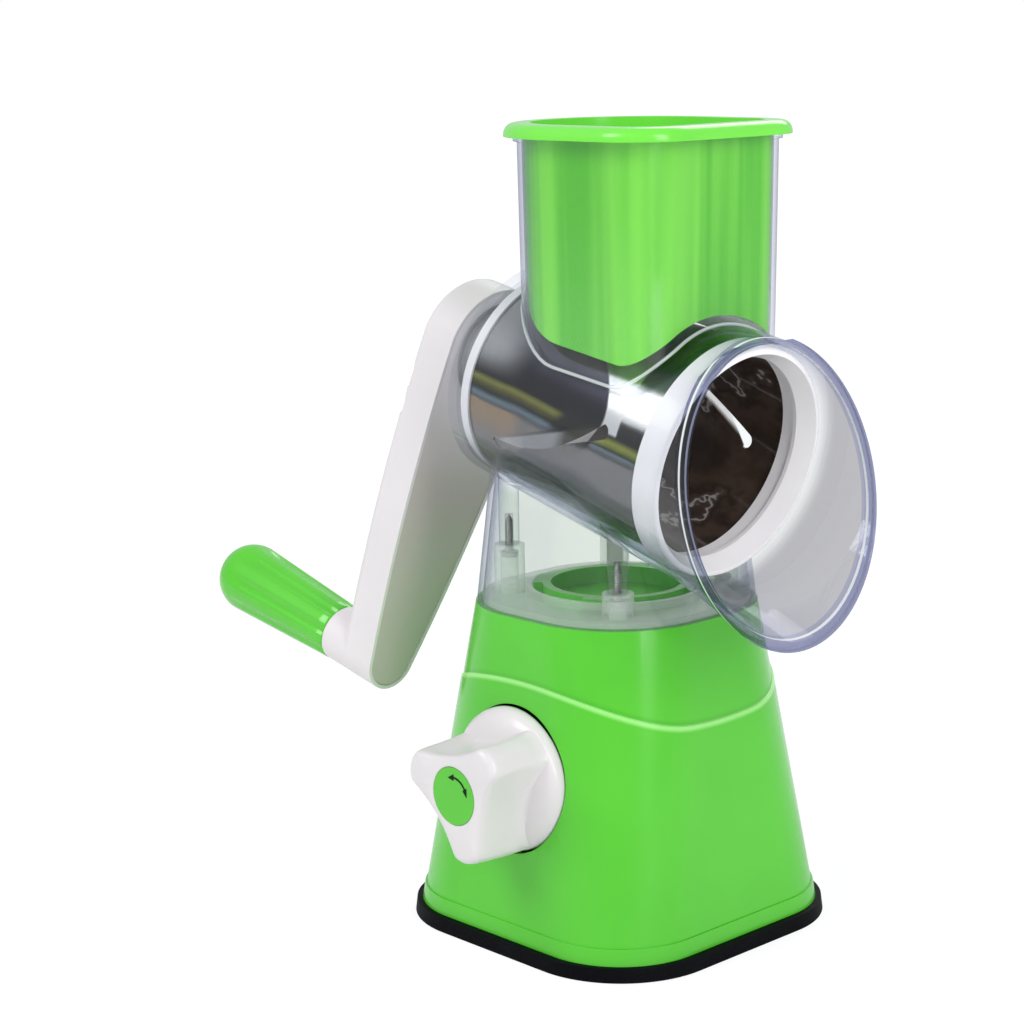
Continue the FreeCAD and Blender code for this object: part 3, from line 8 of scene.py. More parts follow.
import logging
import math
from dataclasses import dataclass
from enum import Enum
from typing import Callable, Mapping, Sequence

import bmesh
import bpy
from mathutils import Euler, Matrix, Vector


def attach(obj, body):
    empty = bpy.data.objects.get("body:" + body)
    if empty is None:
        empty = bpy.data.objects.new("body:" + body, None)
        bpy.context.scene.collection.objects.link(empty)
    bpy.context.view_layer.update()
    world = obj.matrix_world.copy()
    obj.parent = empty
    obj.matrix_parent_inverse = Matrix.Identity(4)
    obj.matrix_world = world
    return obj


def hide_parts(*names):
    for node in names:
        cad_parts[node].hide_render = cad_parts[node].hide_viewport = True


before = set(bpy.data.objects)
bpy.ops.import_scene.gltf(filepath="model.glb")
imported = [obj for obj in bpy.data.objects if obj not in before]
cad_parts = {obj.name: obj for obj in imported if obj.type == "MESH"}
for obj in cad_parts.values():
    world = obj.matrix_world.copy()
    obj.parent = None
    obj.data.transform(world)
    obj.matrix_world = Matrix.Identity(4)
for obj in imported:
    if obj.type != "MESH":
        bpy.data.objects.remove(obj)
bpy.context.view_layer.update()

logging.basicConfig(level=logging.INFO, format="%(message)s")
LOG = logging.getLogger("shredder")

MM = 0.001
Point = tuple[float, float, float]
Colour = tuple[float, float, float, float]
Stop = tuple[float, Colour]
Band = tuple[float, float, float, float]
Socket = bpy.types.NodeSocket
DRUM_AXIS: Point = (2.2, 0.0, 181.2)
TILT = math.radians(12.8)


class Body(str, Enum):
    """The moving bodies that new pieces ride on."""

    KNOB = "suction_knob"
    HOUSING = "housing"
    GRIP = "grip"


class Slot(str, Enum):
    """The record's material slots, for new pieces."""

    GREEN = "green_plastic"
    WHITE = "white_plastic"
    CLEAR = "clear_plastic"
    SCREW = "screw_steel"


def srgb(red: int, green: int, blue: int) -> Colour:
    """Turn a colour written as screen values into the linear values that shaders take.

    Args:
        red: Red from 0 to 255.
        green: Green from 0 to 255.
        blue: Blue from 0 to 255.

    Returns:
        The linear colour with an alpha of 1.
    """

    def linear(value: int) -> float:
        """Undo the screen curve of one channel."""
        share = value / 255
        return share / 12.92 if share <= 0.04045 else ((share + 0.055) / 1.055) ** 2.4

    return (linear(red), linear(green), linear(blue), 1.0)


# ---------------------------------------------------------------------------
# Shader building
# ---------------------------------------------------------------------------


class Value:
    """A number in a material's nodes. Sums and products of it add Math nodes."""

    def __init__(self, nodes: "Nodes", socket: Socket) -> None:
        """Keep the socket that gives the number.

        Args:
            nodes: The nodes that the socket belongs to.
            socket: The output socket.
        """
        self.nodes = nodes
        self.socket = socket

    def _maths(self, operation: str, first: "Value | float", second: "Value | float") -> "Value":
        """Add one Math node.

        Args:
            operation: The node's operation.
            first: Its first number.
            second: Its second number.

        Returns:
            The node's result.
        """
        node = self.nodes.add("ShaderNodeMath", {"operation": operation}, {0: first, 1: second})
        return Value(self.nodes, node.outputs[0])

    def __add__(self, other: "Value | float") -> "Value":
        """Give self + other."""
        return self._maths("ADD", self, other)

    def __radd__(self, other: float) -> "Value":
        """Give other + self."""
        return self._maths("ADD", other, self)

    def __sub__(self, other: "Value | float") -> "Value":
        """Give self - other."""
        return self._maths("SUBTRACT", self, other)

    def __rsub__(self, other: float) -> "Value":
        """Give other - self."""
        return self._maths("SUBTRACT", other, self)

    def __mul__(self, other: "Value | float") -> "Value":
        """Give self * other."""
        return self._maths("MULTIPLY", self, other)

    def __rmul__(self, other: float) -> "Value":
        """Give other * self."""
        return self._maths("MULTIPLY", other, self)

    def __truediv__(self, other: "Value | float") -> "Value":
        """Give self / other."""
        return self._maths("DIVIDE", self, other)

    def power(self, exponent: float) -> "Value":
        """Give self to a power."""
        return self._maths("POWER", self, exponent)

    def lesser(self, other: "Value | float") -> "Value":
        """Give the lesser of self and other."""
        return self._maths("MINIMUM", self, other)

    def greater(self, other: "Value | float") -> "Value":
        """Give the greater of self and other."""
        return self._maths("MAXIMUM", self, other)

    def length_with(self, other: "Value") -> "Value":
        """Give the length that self and other make at right angles."""
        return (self * self + other * other).power(0.5)

    def angle_to(self, other: "Value") -> "Value":
        """Give the angle whose tangent is self / other."""
        return self._maths("ARCTAN2", self, other)

    def step(self, low: float, high: float) -> "Value":
        """Rise smoothly from 0 at low to 1 at high, or fall where low is the greater.

        Args:
            low: Where the result is 0.
            high: Where the result is 1.

        Returns:
            The eased share.
        """
        node = self.nodes.add(
            "ShaderNodeMapRange",
            {"interpolation_type": "SMOOTHSTEP", "clamp": True},
            {"Value": self, "From Min": low, "From Max": high, "To Min": 0.0, "To Max": 1.0},
        )
        return Value(self.nodes, node.outputs["Result"])

    def band(self, edges: Band) -> "Value":
        """Rise from 0 to 1 between the first two edges, and fall between the last two."""
        start, full, fade, end = edges
        return self.step(start, full) * self.step(end, fade)


class Nodes:
    """The nodes of one new material or world."""

    def __init__(self, name: str, world: bool = False) -> None:
        """Start a material or world with an empty node tree.

        Args:
            name: Its name.
            world: Whether it is a world.
        """
        self.owner = (bpy.data.worlds if world else bpy.data.materials).new(name)
        self.owner.use_nodes = True
        self.tree = self.owner.node_tree
        self.tree.nodes.clear()
        self.output = self.add("ShaderNodeOutputWorld" if world else "ShaderNodeOutputMaterial")

    def add(
        self,
        kind: str,
        settings: Mapping[str, object] | None = None,
        inputs: Mapping[str | int, object] | None = None,
    ) -> bpy.types.Node:
        """Add one node, its settings first and then its sockets.

        Args:
            kind: The node's type.
            settings: The node's own settings; "stops" gives a colour ramp's stops.
            inputs: A number, colour, value or output socket for each input socket.

        Returns:
            The node.
        """
        node = self.tree.nodes.new(kind)
        for name, setting in (settings or {}).items():
            if name == "stops":
                self._set_stops(node, setting)
            else:
                setattr(node, name, setting)
        for key, given in (inputs or {}).items():
            socket = node.inputs[key]
            if isinstance(given, Value):
                self.tree.links.new(given.socket, socket)
            elif isinstance(given, Socket):
                self.tree.links.new(given, socket)
            else:
                socket.default_value = given
        return node

    @staticmethod
    def _set_stops(node: bpy.types.Node, stops: Sequence[Stop]) -> None:
        """Give a colour ramp its stops.

        Args:
            node: The colour ramp node.
            stops: The place and colour of each stop, in order.
        """
        elements = node.color_ramp.elements
        while len(elements) < len(stops):
            elements.new(1.0)
        for element, (place, colour) in zip(elements, stops):
            element.position = place
            element.color = colour

    def place(
        self, centre: Point = (0, 0, 0), turn: Point = (0, 0, 0), scale: Point = (1, 1, 1)
    ) -> Socket:
        """Give the object's own coordinates, seen from a centre and turned frame.

        Args:
            centre: The point that becomes the origin, in metres.
            turn: The frame's turn about X, Y and Z in radians.
            scale: The length that counts as 1 along each axis.

        Returns:
            The vector socket.
        """
        coordinates = self.add("ShaderNodeTexCoord").outputs["Object"]
        node = self.add(
            "ShaderNodeMapping",
            {"vector_type": "TEXTURE"},
            {"Vector": coordinates, "Location": centre, "Rotation": turn, "Scale": scale},
        )
        return node.outputs[0]

    def parts(self, vector: Socket) -> tuple[Value, Value, Value]:
        """Split a vector into its three numbers."""
        node = self.add("ShaderNodeSeparateXYZ", None, {0: vector})
        return tuple(Value(self, socket) for socket in node.outputs)

    def vector(self, x: Value | float, y: Value | float, z: Value | float) -> Socket:
        """Join three numbers into a vector."""
        return self.add("ShaderNodeCombineXYZ", None, {0: x, 1: y, 2: z}).outputs[0]

    def noise(
        self,
        vector: Socket,
        scale: float,
        detail: float = 2.0,
        roughness: float = 0.5,
    ) -> Value:
        """Give soft noise about 0.5.

        Args:
            vector: Where it is read.
            scale: How many patches fit in one unit.
            detail: How many finer layers are added.
            roughness: How strong the finer layers are.

        Returns:
            The noise.
        """
        inputs = {"Vector": vector, "Scale": scale, "Detail": detail, "Roughness": roughness}
        return Value(self, self.add("ShaderNodeTexNoise", None, inputs).outputs[0])

    def drawn_noise(
        self, parts: Sequence[Value], counts: Point, detail: float, roughness: float = 0.5
    ) -> Value:
        """Give soft noise that is drawn out along some of its axes.

        Args:
            parts: The three numbers of the place where it is read.
            counts: How many patches fit in a metre along each.
            detail: How many finer layers are added.
            roughness: How strong the finer layers are.

        Returns:
            The noise.
        """
        vector = self.vector(*(part * count for part, count in zip(parts, counts)))
        return self.noise(vector, 1.0, detail, roughness)

    def mix(self, share: Value | float, first: object, second: object) -> Socket:
        """Mix two colours or colour sockets, share telling how much of the second shows."""
        inputs = {"Factor": share, 6: first, 7: second}
        return self.add("ShaderNodeMix", {"data_type": "RGBA"}, inputs).outputs[2]

    def ramp(self, value: Value, stops: Sequence[Stop]) -> Socket:
        """Turn a number into a colour by a ramp's stops."""
        return self.add("ShaderNodeValToRGB", {"stops": stops}, {0: value}).outputs[0]

    def bump(self, height: Value, distance: float) -> Socket:
        """Give the normal of a relief, distance being the height of 1 in metres."""
        return self.add("ShaderNodeBump", None, {"Height": height, "Distance": distance}).outputs[0]

    def principled(self, **inputs: object) -> Socket:
        """Add a Principled shader, its sockets named with underscores."""
        named = {name.replace("_", " "): value for name, value in inputs.items()}
        return self.add("ShaderNodeBsdfPrincipled", None, named).outputs[0]

    def blend(
        self, share: Value | float, first: Socket, second: Socket
    ) -> Socket:
        """Mix two shaders, share telling how much of the second shows."""
        return self.add("ShaderNodeMixShader", None, {0: share, 1: first, 2: second}).outputs[0]

    def show(self, shader: Socket) -> bpy.types.Material | bpy.types.World:
        """Send a shader to the output and give the material or world."""
        self.tree.links.new(shader, self.output.inputs["Surface"])
        return self.owner

    def about_drum(self) -> tuple[Value, Value, Value]:
        """Give the place along the drum's axis, across it and above it, in metres."""
        return self.parts(self.place(tuple(c * MM for c in DRUM_AXIS), (0, TILT, 0)))


# ---------------------------------------------------------------------------
# Finishes
# ---------------------------------------------------------------------------


@dataclass(frozen=True)
class MouldedPlastic:
    """Glossy moulded plastic with a faint mottle and a gently uneven gloss."""

    name: str
    colour: Colour
    shade: Colour
    roughness: float = 0.22
    coat: float = 0.25
    gloss: float = 0.4
    coat_roughness: float = 0.06
    mottle_scale: float = 22.0
    sheen_scale: float = 35.0
    sheen_change: float = 0.12
    ripple_scale: float = 9.0
    ripple: float = 0.5 * MM

    def paint(self, nodes: Nodes) -> Socket:
        """Give the colour, which varies softly over the piece."""
        mottle = nodes.noise(nodes.place(), self.mottle_scale, 3.0).step(0.3, 0.75)
        return nodes.mix(mottle, self.colour, self.shade)

    def make(self) -> bpy.types.Material:
        """Build the material."""
        nodes = Nodes(self.name)
        sheen = nodes.noise(nodes.place(), self.sheen_scale, 4.0, 0.6)
        ripple = nodes.noise(nodes.place(), self.ripple_scale, 1.0)
        shader = nodes.principled(
            Base_Color=self.paint(nodes),
            Roughness=self.roughness + self.sheen_change * (sheen - 0.5),
            Specular_IOR_Level=self.gloss,
            Coat_Weight=self.coat,
            Coat_Roughness=self.coat_roughness,
            Normal=nodes.bump(ripple, self.ripple),
        )
        return nodes.show(shader)


@dataclass(frozen=True)
class BaseShellPlastic(MouldedPlastic):
    """The base's green, with a painted highlight along the saddle-shaped step round it and painted
    shade just above the step.
    """

    # The green of the painted highlight just below the step, then the green of the painted shade
    # just above it.
    painted_highlight_green: Colour = srgb(168, 240, 138)
    painted_shade_green: Colour = srgb(70, 172, 34)
    step_height: float = 86.9 * MM
    step_rise: float = 5.8 * MM
    step_reach: float = 45.5 * MM
    highlight_band: Band = (-2.2 * MM, -0.7 * MM, -0.1 * MM, 0.4 * MM)
    shade_band: Band = (0.0, 0.4 * MM, 0.8 * MM, 2.2 * MM)
    highlight_share: float = 0.75
    shade_share: float = 0.55

    def paint(self, nodes: Nodes) -> Socket:
        """Give the green with the step's painted highlight and painted shade lines."""
        x, y, z = nodes.parts(nodes.place())
        saddle = (x * x - y * y) * (self.step_rise / self.step_reach**2)
        above = z + saddle - self.step_height
        # Painted shade just above the step, painted highlight just below it.
        painted_shade = above.band(self.shade_band) * self.shade_share
        painted_highlight = above.band(self.highlight_band) * self.highlight_share
        return nodes.mix(painted_highlight, nodes.mix(painted_shade, super().paint(nodes), self.painted_shade_green), self.painted_highlight_green)


@dataclass(frozen=True)
class PusherPlastic(MouldedPlastic):
    """The pusher's green, with painted upright streaks of highlight and shade below its rim."""

    # The light and the deep green below are the colours of the painted highlight and shade streaks.
    painted_highlight: Colour = srgb(128, 231, 64)
    deep: Colour = srgb(84, 200, 24)
    rim: float = 275.4 * MM
    rim_blur: float = 0.6 * MM
    broad: Point = (48.0, 48.0, 1.0)
    fine: Point = (130.0, 130.0, 3.0)
    broad_share: float = 0.6

    def paint(self, nodes: Nodes) -> Socket:
        """Give the green with its painted highlight and shade streaks."""
        parts = nodes.parts(nodes.place())
        broad = nodes.drawn_noise(parts, self.broad, 1.5)
        fine = nodes.drawn_noise(parts, self.fine, 2.0)
        # The wall below the rim gets painted reflection streaks of highlight and shade.
        reflection_streak = broad * self.broad_share + fine * (1 - self.broad_share)
        wall = nodes.mix(reflection_streak.step(0.42, 0.58), self.deep, self.painted_highlight)
        below = parts[2].step(self.rim, self.rim - self.rim_blur)
        return nodes.mix(below, super().paint(nodes), wall)


@dataclass(frozen=True)
class CoverPlastic(MouldedPlastic):
    """The arm's smooth side: white at the hub, greyer down the arm by painted shade."""

    # far is the painted shade grey that the arm turns towards away from the hub.
    far: Colour = srgb(197, 186, 184)
    shade_from: float = 18.0 * MM
    shade_to: float = 62.0 * MM
    wander: float = 10.0 * MM

    def paint(self, nodes: Nodes) -> Socket:
        """Give the white that greys by painted shade with the distance from the drum's axis."""
        _, across, up = nodes.about_drum()
        reach = across.length_with(up) + nodes.noise(nodes.place(), 12.0, 2.0) * self.wander
        painted_shade_share = reach.step(self.shade_from, self.shade_to)
        return nodes.mix(painted_shade_share, super().paint(nodes), self.far)


@dataclass(frozen=True)
class ClearPlastic:
    """Clear moulded plastic, greyed over the flare's side towards -Y, with a painted highlight
    along its free edge.

    The mouth's rim has a bluish line and a thin painted highlight line, any glow of the
    frost is painted light, and surfaces seen at a slant turn bluish and gloss over.
    """

    name: str
    tint: Colour = (0.97, 0.98, 0.98, 1)
    edge: Colour = (0.50, 0.52, 0.66, 1)
    flare_grey: Colour = (0.71, 0.71, 0.725, 1)
    line: Colour = (0.52, 0.53, 0.66, 1)
    skirt: Colour = (0.93, 0.95, 0.93, 1)
    frost: Colour = (0.80, 0.88, 0.80, 1)
    # haze is a share of frost all over; glow makes the frost glow as painted light.
    haze: float = 0.0
    glow: float = 0.0
    gloss: float = 0.75
    least_gloss: float = 0.035
    wave: float = 0.18 * MM
    barrel_radius: float = 41.4 * MM
    barrel_front: float = 57.0 * MM
    rim: Point = (76.1 * MM, 0.0, 161.0 * MM)
    rim_lean: float = math.radians(10.4)
    rim_line: tuple[float, float] = (3.6 * MM, 3.0 * MM)
    # The band behind the rim that carries the painted white highlight.
    rim_painted_highlight: Band = (0.7 * MM, 1.0 * MM, 1.6 * MM, 1.9 * MM)

    def make(self) -> bpy.types.Material:
        """Build the material."""
        nodes = Nodes(self.name)
        along, across, up = nodes.about_drum()
        behind = nodes.parts(nodes.place(self.rim, (0, -self.rim_lean, 0)))[0] * -1.0
        wave = nodes.noise(nodes.place(), 40.0, 2.0)
        scuff = nodes.noise(nodes.place(), 260.0, 3.0).step(0.45, 0.8)
        normal = nodes.bump(wave, self.wave)
        weight = nodes.add("ShaderNodeLayerWeight", None, {"Blend": 0.5, "Normal": normal})
        slant = Value(nodes, weight.outputs["Facing"])
        # The flare is greyed on its side towards -Y.
        in_flare = along.step(self.barrel_front - 6 * MM, self.barrel_front + 4 * MM)
        flare_grey_share = in_flare * across.step(-40 * MM, -12 * MM)
        outside = (across.length_with(up) - self.barrel_radius).step(0.0, 3 * MM)
        low = outside * up.step(-4 * MM, -12 * MM) * (1.0 - flare_grey_share)
        through = self.clear(nodes, self.tint)
        for share, colour in (
            (flare_grey_share, self.flare_grey),
            (low, self.skirt),
            (behind.step(*self.rim_line), self.line),
            (slant.power(2.8), self.edge),
        ):
            through = nodes.blend(share, through, self.clear(nodes, colour))
        skin = nodes.principled(
            Base_Color=(1, 1, 1, 1), Metallic=1.0, Roughness=0.03 + 0.06 * scuff, Normal=normal
        )
        glossy = (self.least_gloss + slant.power(5.0) * self.gloss).lesser(1.0)
        # The frost's emission is painted glow wherever glow is set.
        frost = nodes.principled(
            Base_Color=nodes.mix(wave, self.frost, (0.9, 0.92, 0.93, 1)),
            Roughness=0.35,
            Normal=normal,
            Emission_Color=self.frost,
            Emission_Strength=self.glow,
        )
        # The frost band behind the rim is a painted highlight line.
        painted_highlight_and_haze = (behind.band(self.rim_painted_highlight) * 0.8).greater(self.haze)
        return nodes.show(nodes.blend(painted_highlight_and_haze, nodes.blend(glossy, through, skin), frost))

    @staticmethod
    def clear(nodes: Nodes, tint: Colour) -> Socket:
        """Give a shader that lets light through with a tint."""
        return nodes.add("ShaderNodeBsdfTransparent", None, {"Color": tint}).outputs[0]


def turned(stops: Sequence[Stop]) -> list[Stop]:
    """Give stops placed by an angle from -180 to 180 degrees their place from 0 to 1."""
    return [((angle + 180.0) / 360.0, colour) for angle, colour in stops]


def grey(level: float) -> Colour:
    """Give a neutral colour."""
    return (level, level, level, 1.0)


# Painted reflections of the drum's outside, by angle round it: along the sheet, then at the front
# end.
PAINTED_SHEET_REFLECTIONS = turned([
    (-180, grey(0.62)), (-150, grey(0.78)), (-128, grey(0.02)), (-100, grey(0.03)),
    (-88, (0.30, 0.33, 0.31, 1)), (-60, (0.25, 0.29, 0.27, 1)), (-46, (0.17, 0.20, 0.18, 1)),
    (-31, (0.13, 0.15, 0.135, 1)), (-28, (0.03, 0.06, 0.04, 1)), (-25, (0.17, 0.165, 0.17, 1)),
    (-5, (0.16, 0.15, 0.145, 1)), (-2.5, (0.03, 0.045, 0.06, 1)), (0.5, (0.17, 0.23, 0.28, 1)),
    (2.5, (0.015, 0.02, 0.025, 1)), (5.5, (0.10, 0.105, 0.02, 1)), (9, (0.34, 0.34, 0.07, 1)),
    (10.8, (0.006, 0.005, 0.008, 1)), (19, (0.008, 0.007, 0.012, 1)), (23, (0.018, 0.017, 0.03, 1)),
    (31, (0.05, 0.05, 0.07, 1)), (40, (0.085, 0.085, 0.115, 1)), (50, (0.03, 0.027, 0.04, 1)),
    (70, grey(0.02)), (84, grey(0.5)), (105, grey(0.85)), (118, grey(0.03)), (140, grey(0.02)),
    (150, (0.25, 0.25, 0.08, 1)), (160, grey(0.05)), (180, grey(0.62)),
])
PAINTED_FRONT_REFLECTIONS = turned([
    (-180, grey(0.8)), (-100, grey(0.03)), (-60, grey(0.2)), (-32, (0.10, 0.13, 0.11, 1)),
    (-27, (0.02, 0.05, 0.03, 1)), (-24, (0.17, 0.165, 0.17, 1)), (-3, (0.17, 0.165, 0.17, 1)),
    (-1, (0.02, 0.03, 0.04, 1)), (1.5, (0.15, 0.2, 0.22, 1)), (3, (0.02, 0.03, 0.02, 1)),
    (5, (0.30, 0.36, 0.05, 1)), (7.5, (0.35, 0.38, 0.08, 1)), (9, grey(0.01)),
    (18, (0.05, 0.045, 0.05, 1)), (20.5, grey(0.95)), (37, grey(1.0)), (40, (0.10, 0.16, 0.10, 1)),
    (60, (0.03, 0.12, 0.05, 1)), (90, (0.05, 0.2, 0.08, 1)), (120, grey(0.6)), (150, grey(0.03)),
    (180, grey(0.8)),
])
# Painted shade of the drum's inside: dark browns, with one thin painted highlight streak.
INSIDE_PAINTED_SHADE: list[Stop] = [
    (0.25, (0.010, 0.007, 0.005, 1)), (0.40, (0.045, 0.028, 0.020, 1)),
    (0.50, (0.080, 0.052, 0.040, 1)), (0.56, (0.032, 0.020, 0.015, 1)),
    (0.60, (0.085, 0.060, 0.050, 1)), (0.615, (0.50, 0.47, 0.45, 1)),
    (0.63, (0.070, 0.050, 0.040, 1)), (0.75, (0.014, 0.010, 0.008, 1)),
]


@dataclass(frozen=True)
class MirrorSteel:
    """Mirror-bright rolled sheet with painted reflection streaks outside and painted shade inside.
    """

    name: str
    rear: float = -37.0 * MM
    rear_radius: float = 36.6 * MM
    flare: float = 2.0 / 84.0
    # The dark front end of the blade lips' painted reflection.
    painted_lip_reflection: Colour = (0.07, 0.062, 0.045, 1)
    # The two tans are painted brown reflections.
    low_tan_reflection: Colour = (0.19, 0.17, 0.165, 1)
    high_tan_reflection: Colour = (0.30, 0.20, 0.11, 1)
    # shadow is the colour of a painted dark reflection, the end of the near-black band.
    shadow: Colour = (0.012, 0.014, 0.013, 1)
    wobble: Point = (22.0, 30.0, 30.0)
    inside_shade_counts: Point = (26.0, 38.0, 38.0)
    brush: Point = (60.0, 900.0, 900.0)
    ripple: float = 0.3 * MM

    def make(self) -> bpy.types.Material:
        """Build the material."""
        nodes = Nodes(self.name)
        parts = along, across, up = nodes.about_drum()
        wobble = (nodes.drawn_noise(parts, self.wobble, 3.0) - 0.5) * 5.0
        angle = up.angle_to(across * -1.0) * math.degrees(1.0) + wobble
        sheet_radius = self.rear_radius + (along - self.rear) * self.flare
        proud = across.length_with(up) - sheet_radius
        # The blade lips carry a painted reflection, light grey at the rear and dark at the front.
        painted_lip_reflection = nodes.mix(along.step(6 * MM, 14 * MM), grey(0.46), self.painted_lip_reflection)
        outer = self.painted_reflections(nodes, along, angle)
        outside = nodes.mix(proud.step(0.15 * MM, 0.4 * MM), outer, painted_lip_reflection)
        # The inside is painted shade, dark brown with a thin painted highlight streak.
        inside = nodes.ramp(nodes.drawn_noise(parts, self.inside_shade_counts, 4.0, 0.6), INSIDE_PAINTED_SHADE)
        # Lip undersides are painted near-white light, and glow through the emission below.
        painted_light_lip = nodes.mix(proud.step(-0.2 * MM, 0.3 * MM), inside, grey(0.9))
        inner = self.inner_side(nodes)
        shader = nodes.principled(
            Base_Color=nodes.mix(inner, outside, painted_light_lip),
            # Inside, the sheet is less metallic so that its painted shade shows.
            Metallic=1.0 - inner * 0.85,
            Roughness=0.16 + 0.08 * nodes.drawn_noise(parts, self.brush, 2.0) + 0.15 * inner,
            Coat_Weight=0.15 + inner * 0.45,
            Coat_Roughness=0.03,
            Normal=nodes.bump(nodes.noise(nodes.place(), 38.0, 1.0), self.ripple),
            # The lip undersides glow as painted light.
            Emission_Color=nodes.mix(
                inner * proud.step(-0.4 * MM, 0.2 * MM), (0, 0, 0, 1), grey(0.85)
            ),
            Emission_Strength=0.6,
        )
        return nodes.show(shader)

    @staticmethod
    def inner_side(nodes: Nodes) -> Value:
        """Give 1 where the sheet's own normal points to the drum's axis."""
        _, across, up = nodes.about_drum()
        normal = nodes.add("ShaderNodeTexCoord").outputs["Normal"]
        inputs = {"Vector": normal, "Rotation": (0, TILT, 0)}
        mapping = nodes.add("ShaderNodeMapping", {"vector_type": "TEXTURE"}, inputs)
        _, side, rise = nodes.parts(mapping.outputs[0])
        return (across * side + up * rise).step(0.0, -0.002)

    def painted_reflections(self, nodes: Nodes, along: Value, angle: Value) -> Socket:
        """Give the painted reflection streaks of the outside.

        Args:
            nodes: The material's nodes.
            along: The place along the drum's axis in metres.
            angle: The place round it in degrees, from the front upwards.

        Returns:
            The colour.
        """
        share = angle / 360.0 + 0.5
        # A painted tan reflection on the rear, just below the front line.
        tan_reflection = nodes.mix(angle.step(-28.0, -6.0), self.low_tan_reflection, self.high_tan_reflection)
        tan_reflection_patch = along.step(-8 * MM, -18 * MM) * angle.band((-33.0, -27.0, -4.0, -2.2))
        body = nodes.mix(tan_reflection_patch * 0.85, nodes.ramp(share, PAINTED_SHEET_REFLECTIONS), tan_reflection)
        # A painted grey reflection high on the rear.
        rear_painted_reflection = along.step(-12 * MM, -33 * MM) * angle.band((10.0, 24.0, 60.0, 80.0))
        body = nodes.mix(rear_painted_reflection * 0.8, body, grey(0.5))
        # The painted near-black reflection band ends in a slanted line towards the front.
        dark_band_end = (along - angle * 0.0004).step(1 * MM, 7 * MM)
        body = nodes.mix(dark_band_end * angle.band((-3.5, -1.5, 10.4, 11.8)), body, self.shadow)
        # A painted white reflection on the front end, above the front line.
        front_painted_white = along.step(34.5 * MM, 33.5 * MM) * angle.band((9.5, 11.5, 40.0, 60.0))
        front = nodes.mix(front_painted_white, nodes.ramp(share, PAINTED_FRONT_REFLECTIONS), grey(0.95))
        bow = (angle - 16.0) * (angle - 16.0) * 0.000015
        return nodes.mix((along + bow).step(26.2 * MM, 27.4 * MM), body, front)


@dataclass(frozen=True)
class PlatedSteel:
    """Zinc-bright steel of screws and pins, with fine turning marks."""

    name: str
    colour: Colour
    stain: Colour = (0.3, 0.3, 0.32, 1)
    mark_scale: float = 1400.0
    mark_depth: float = 0.04 * MM

    def make(self) -> bpy.types.Material:
        """Build the material."""
        nodes = Nodes(self.name)
        marks = nodes.noise(nodes.place(scale=(1, 1, 0.1)), self.mark_scale, 2.0)
        stain = nodes.noise(nodes.place(), 90.0, 3.0).step(0.4, 0.8)
        shader = nodes.principled(
            Base_Color=nodes.mix(stain, self.colour, self.stain),
            Metallic=1.0,
            Roughness=0.2 + 0.2 * marks,
            Normal=nodes.bump(marks, self.mark_depth),
        )
        return nodes.show(shader)


@dataclass(frozen=True)
class Rubber:
    """Near-black rubber with a fine matt grain and dusty patches."""

    name: str
    colour: Colour
    roughness: float = 0.5
    dust: Colour = (0.009, 0.009, 0.013, 1)
    gloss: float = 0.08
    grain_scale: float = 1500.0
    grain_depth: float = 0.08 * MM

    def make(self) -> bpy.types.Material:
        """Build the material."""
        nodes = Nodes(self.name)
        grain = nodes.noise(nodes.place(), self.grain_scale, 3.0)
        dust = nodes.noise(nodes.place(), 60.0, 4.0, 0.6).step(0.5, 0.85)
        shader = nodes.principled(
            Base_Color=nodes.mix(dust * 0.4, self.colour, self.dust),
            Roughness=self.roughness + 0.15 * (grain - 0.5) + 0.1 * dust,
            Specular_IOR_Level=self.gloss,
            Normal=nodes.bump(grain, self.grain_depth),
        )
        return nodes.show(shader)


GREEN = MouldedPlastic("lime green plastic", srgb(86, 198, 42), srgb(80, 191, 38))
BASE_GREEN = BaseShellPlastic("base green plastic", srgb(84, 197, 42), srgb(79, 190, 38))
PUSHER_GREEN = PusherPlastic("pusher green plastic", srgb(118, 228, 72), srgb(110, 222, 64))
WHITE = MouldedPlastic(
    "white plastic", srgb(226, 220, 221), srgb(220, 216, 216), roughness=0.3, coat=0.2, gloss=0.35
)
COVER_WHITE = CoverPlastic(
    "crank cover plastic",
    srgb(246, 239, 244),
    srgb(242, 235, 240),
    roughness=0.34,
    coat=0.15,
    gloss=0.3,
)
RING_WHITE = MouldedPlastic(
    "drum ring plastic",
    srgb(247, 244, 244),
    srgb(240, 237, 238),
    roughness=0.3,
    coat=0.2,
    gloss=0.35,
)
INNER = MouldedPlastic(
    "inner plastic", srgb(196, 198, 196), srgb(184, 187, 184), roughness=0.5, coat=0.0
)
CLEAR = ClearPlastic("clear plastic")
# The seam bead's haze and glow paint its pale highlight line.
CLEAR_SEAM = ClearPlastic("clear seam plastic", haze=0.3, glow=0.2, gloss=1.0)
# The plate's glow is painted light that brightens its pale green frost.
CLEAR_PLATE = ClearPlastic("clear plate plastic", edge=(0.8, 0.84, 0.82, 1), haze=0.26, glow=0.2)
STEEL = MirrorSteel("mirror drum steel")
PLATED = PlatedSteel("plated steel", (0.5, 0.48, 0.47, 1))
FOOT_RUBBER = Rubber("foot rubber", (0.0015, 0.0015, 0.003, 1), roughness=0.6)
CUP_RUBBER = Rubber("cup rubber", (0.02, 0.02, 0.024, 1), roughness=0.42)
PRINT_INK = Rubber("printed ink", (0.006, 0.02, 0.008, 1))


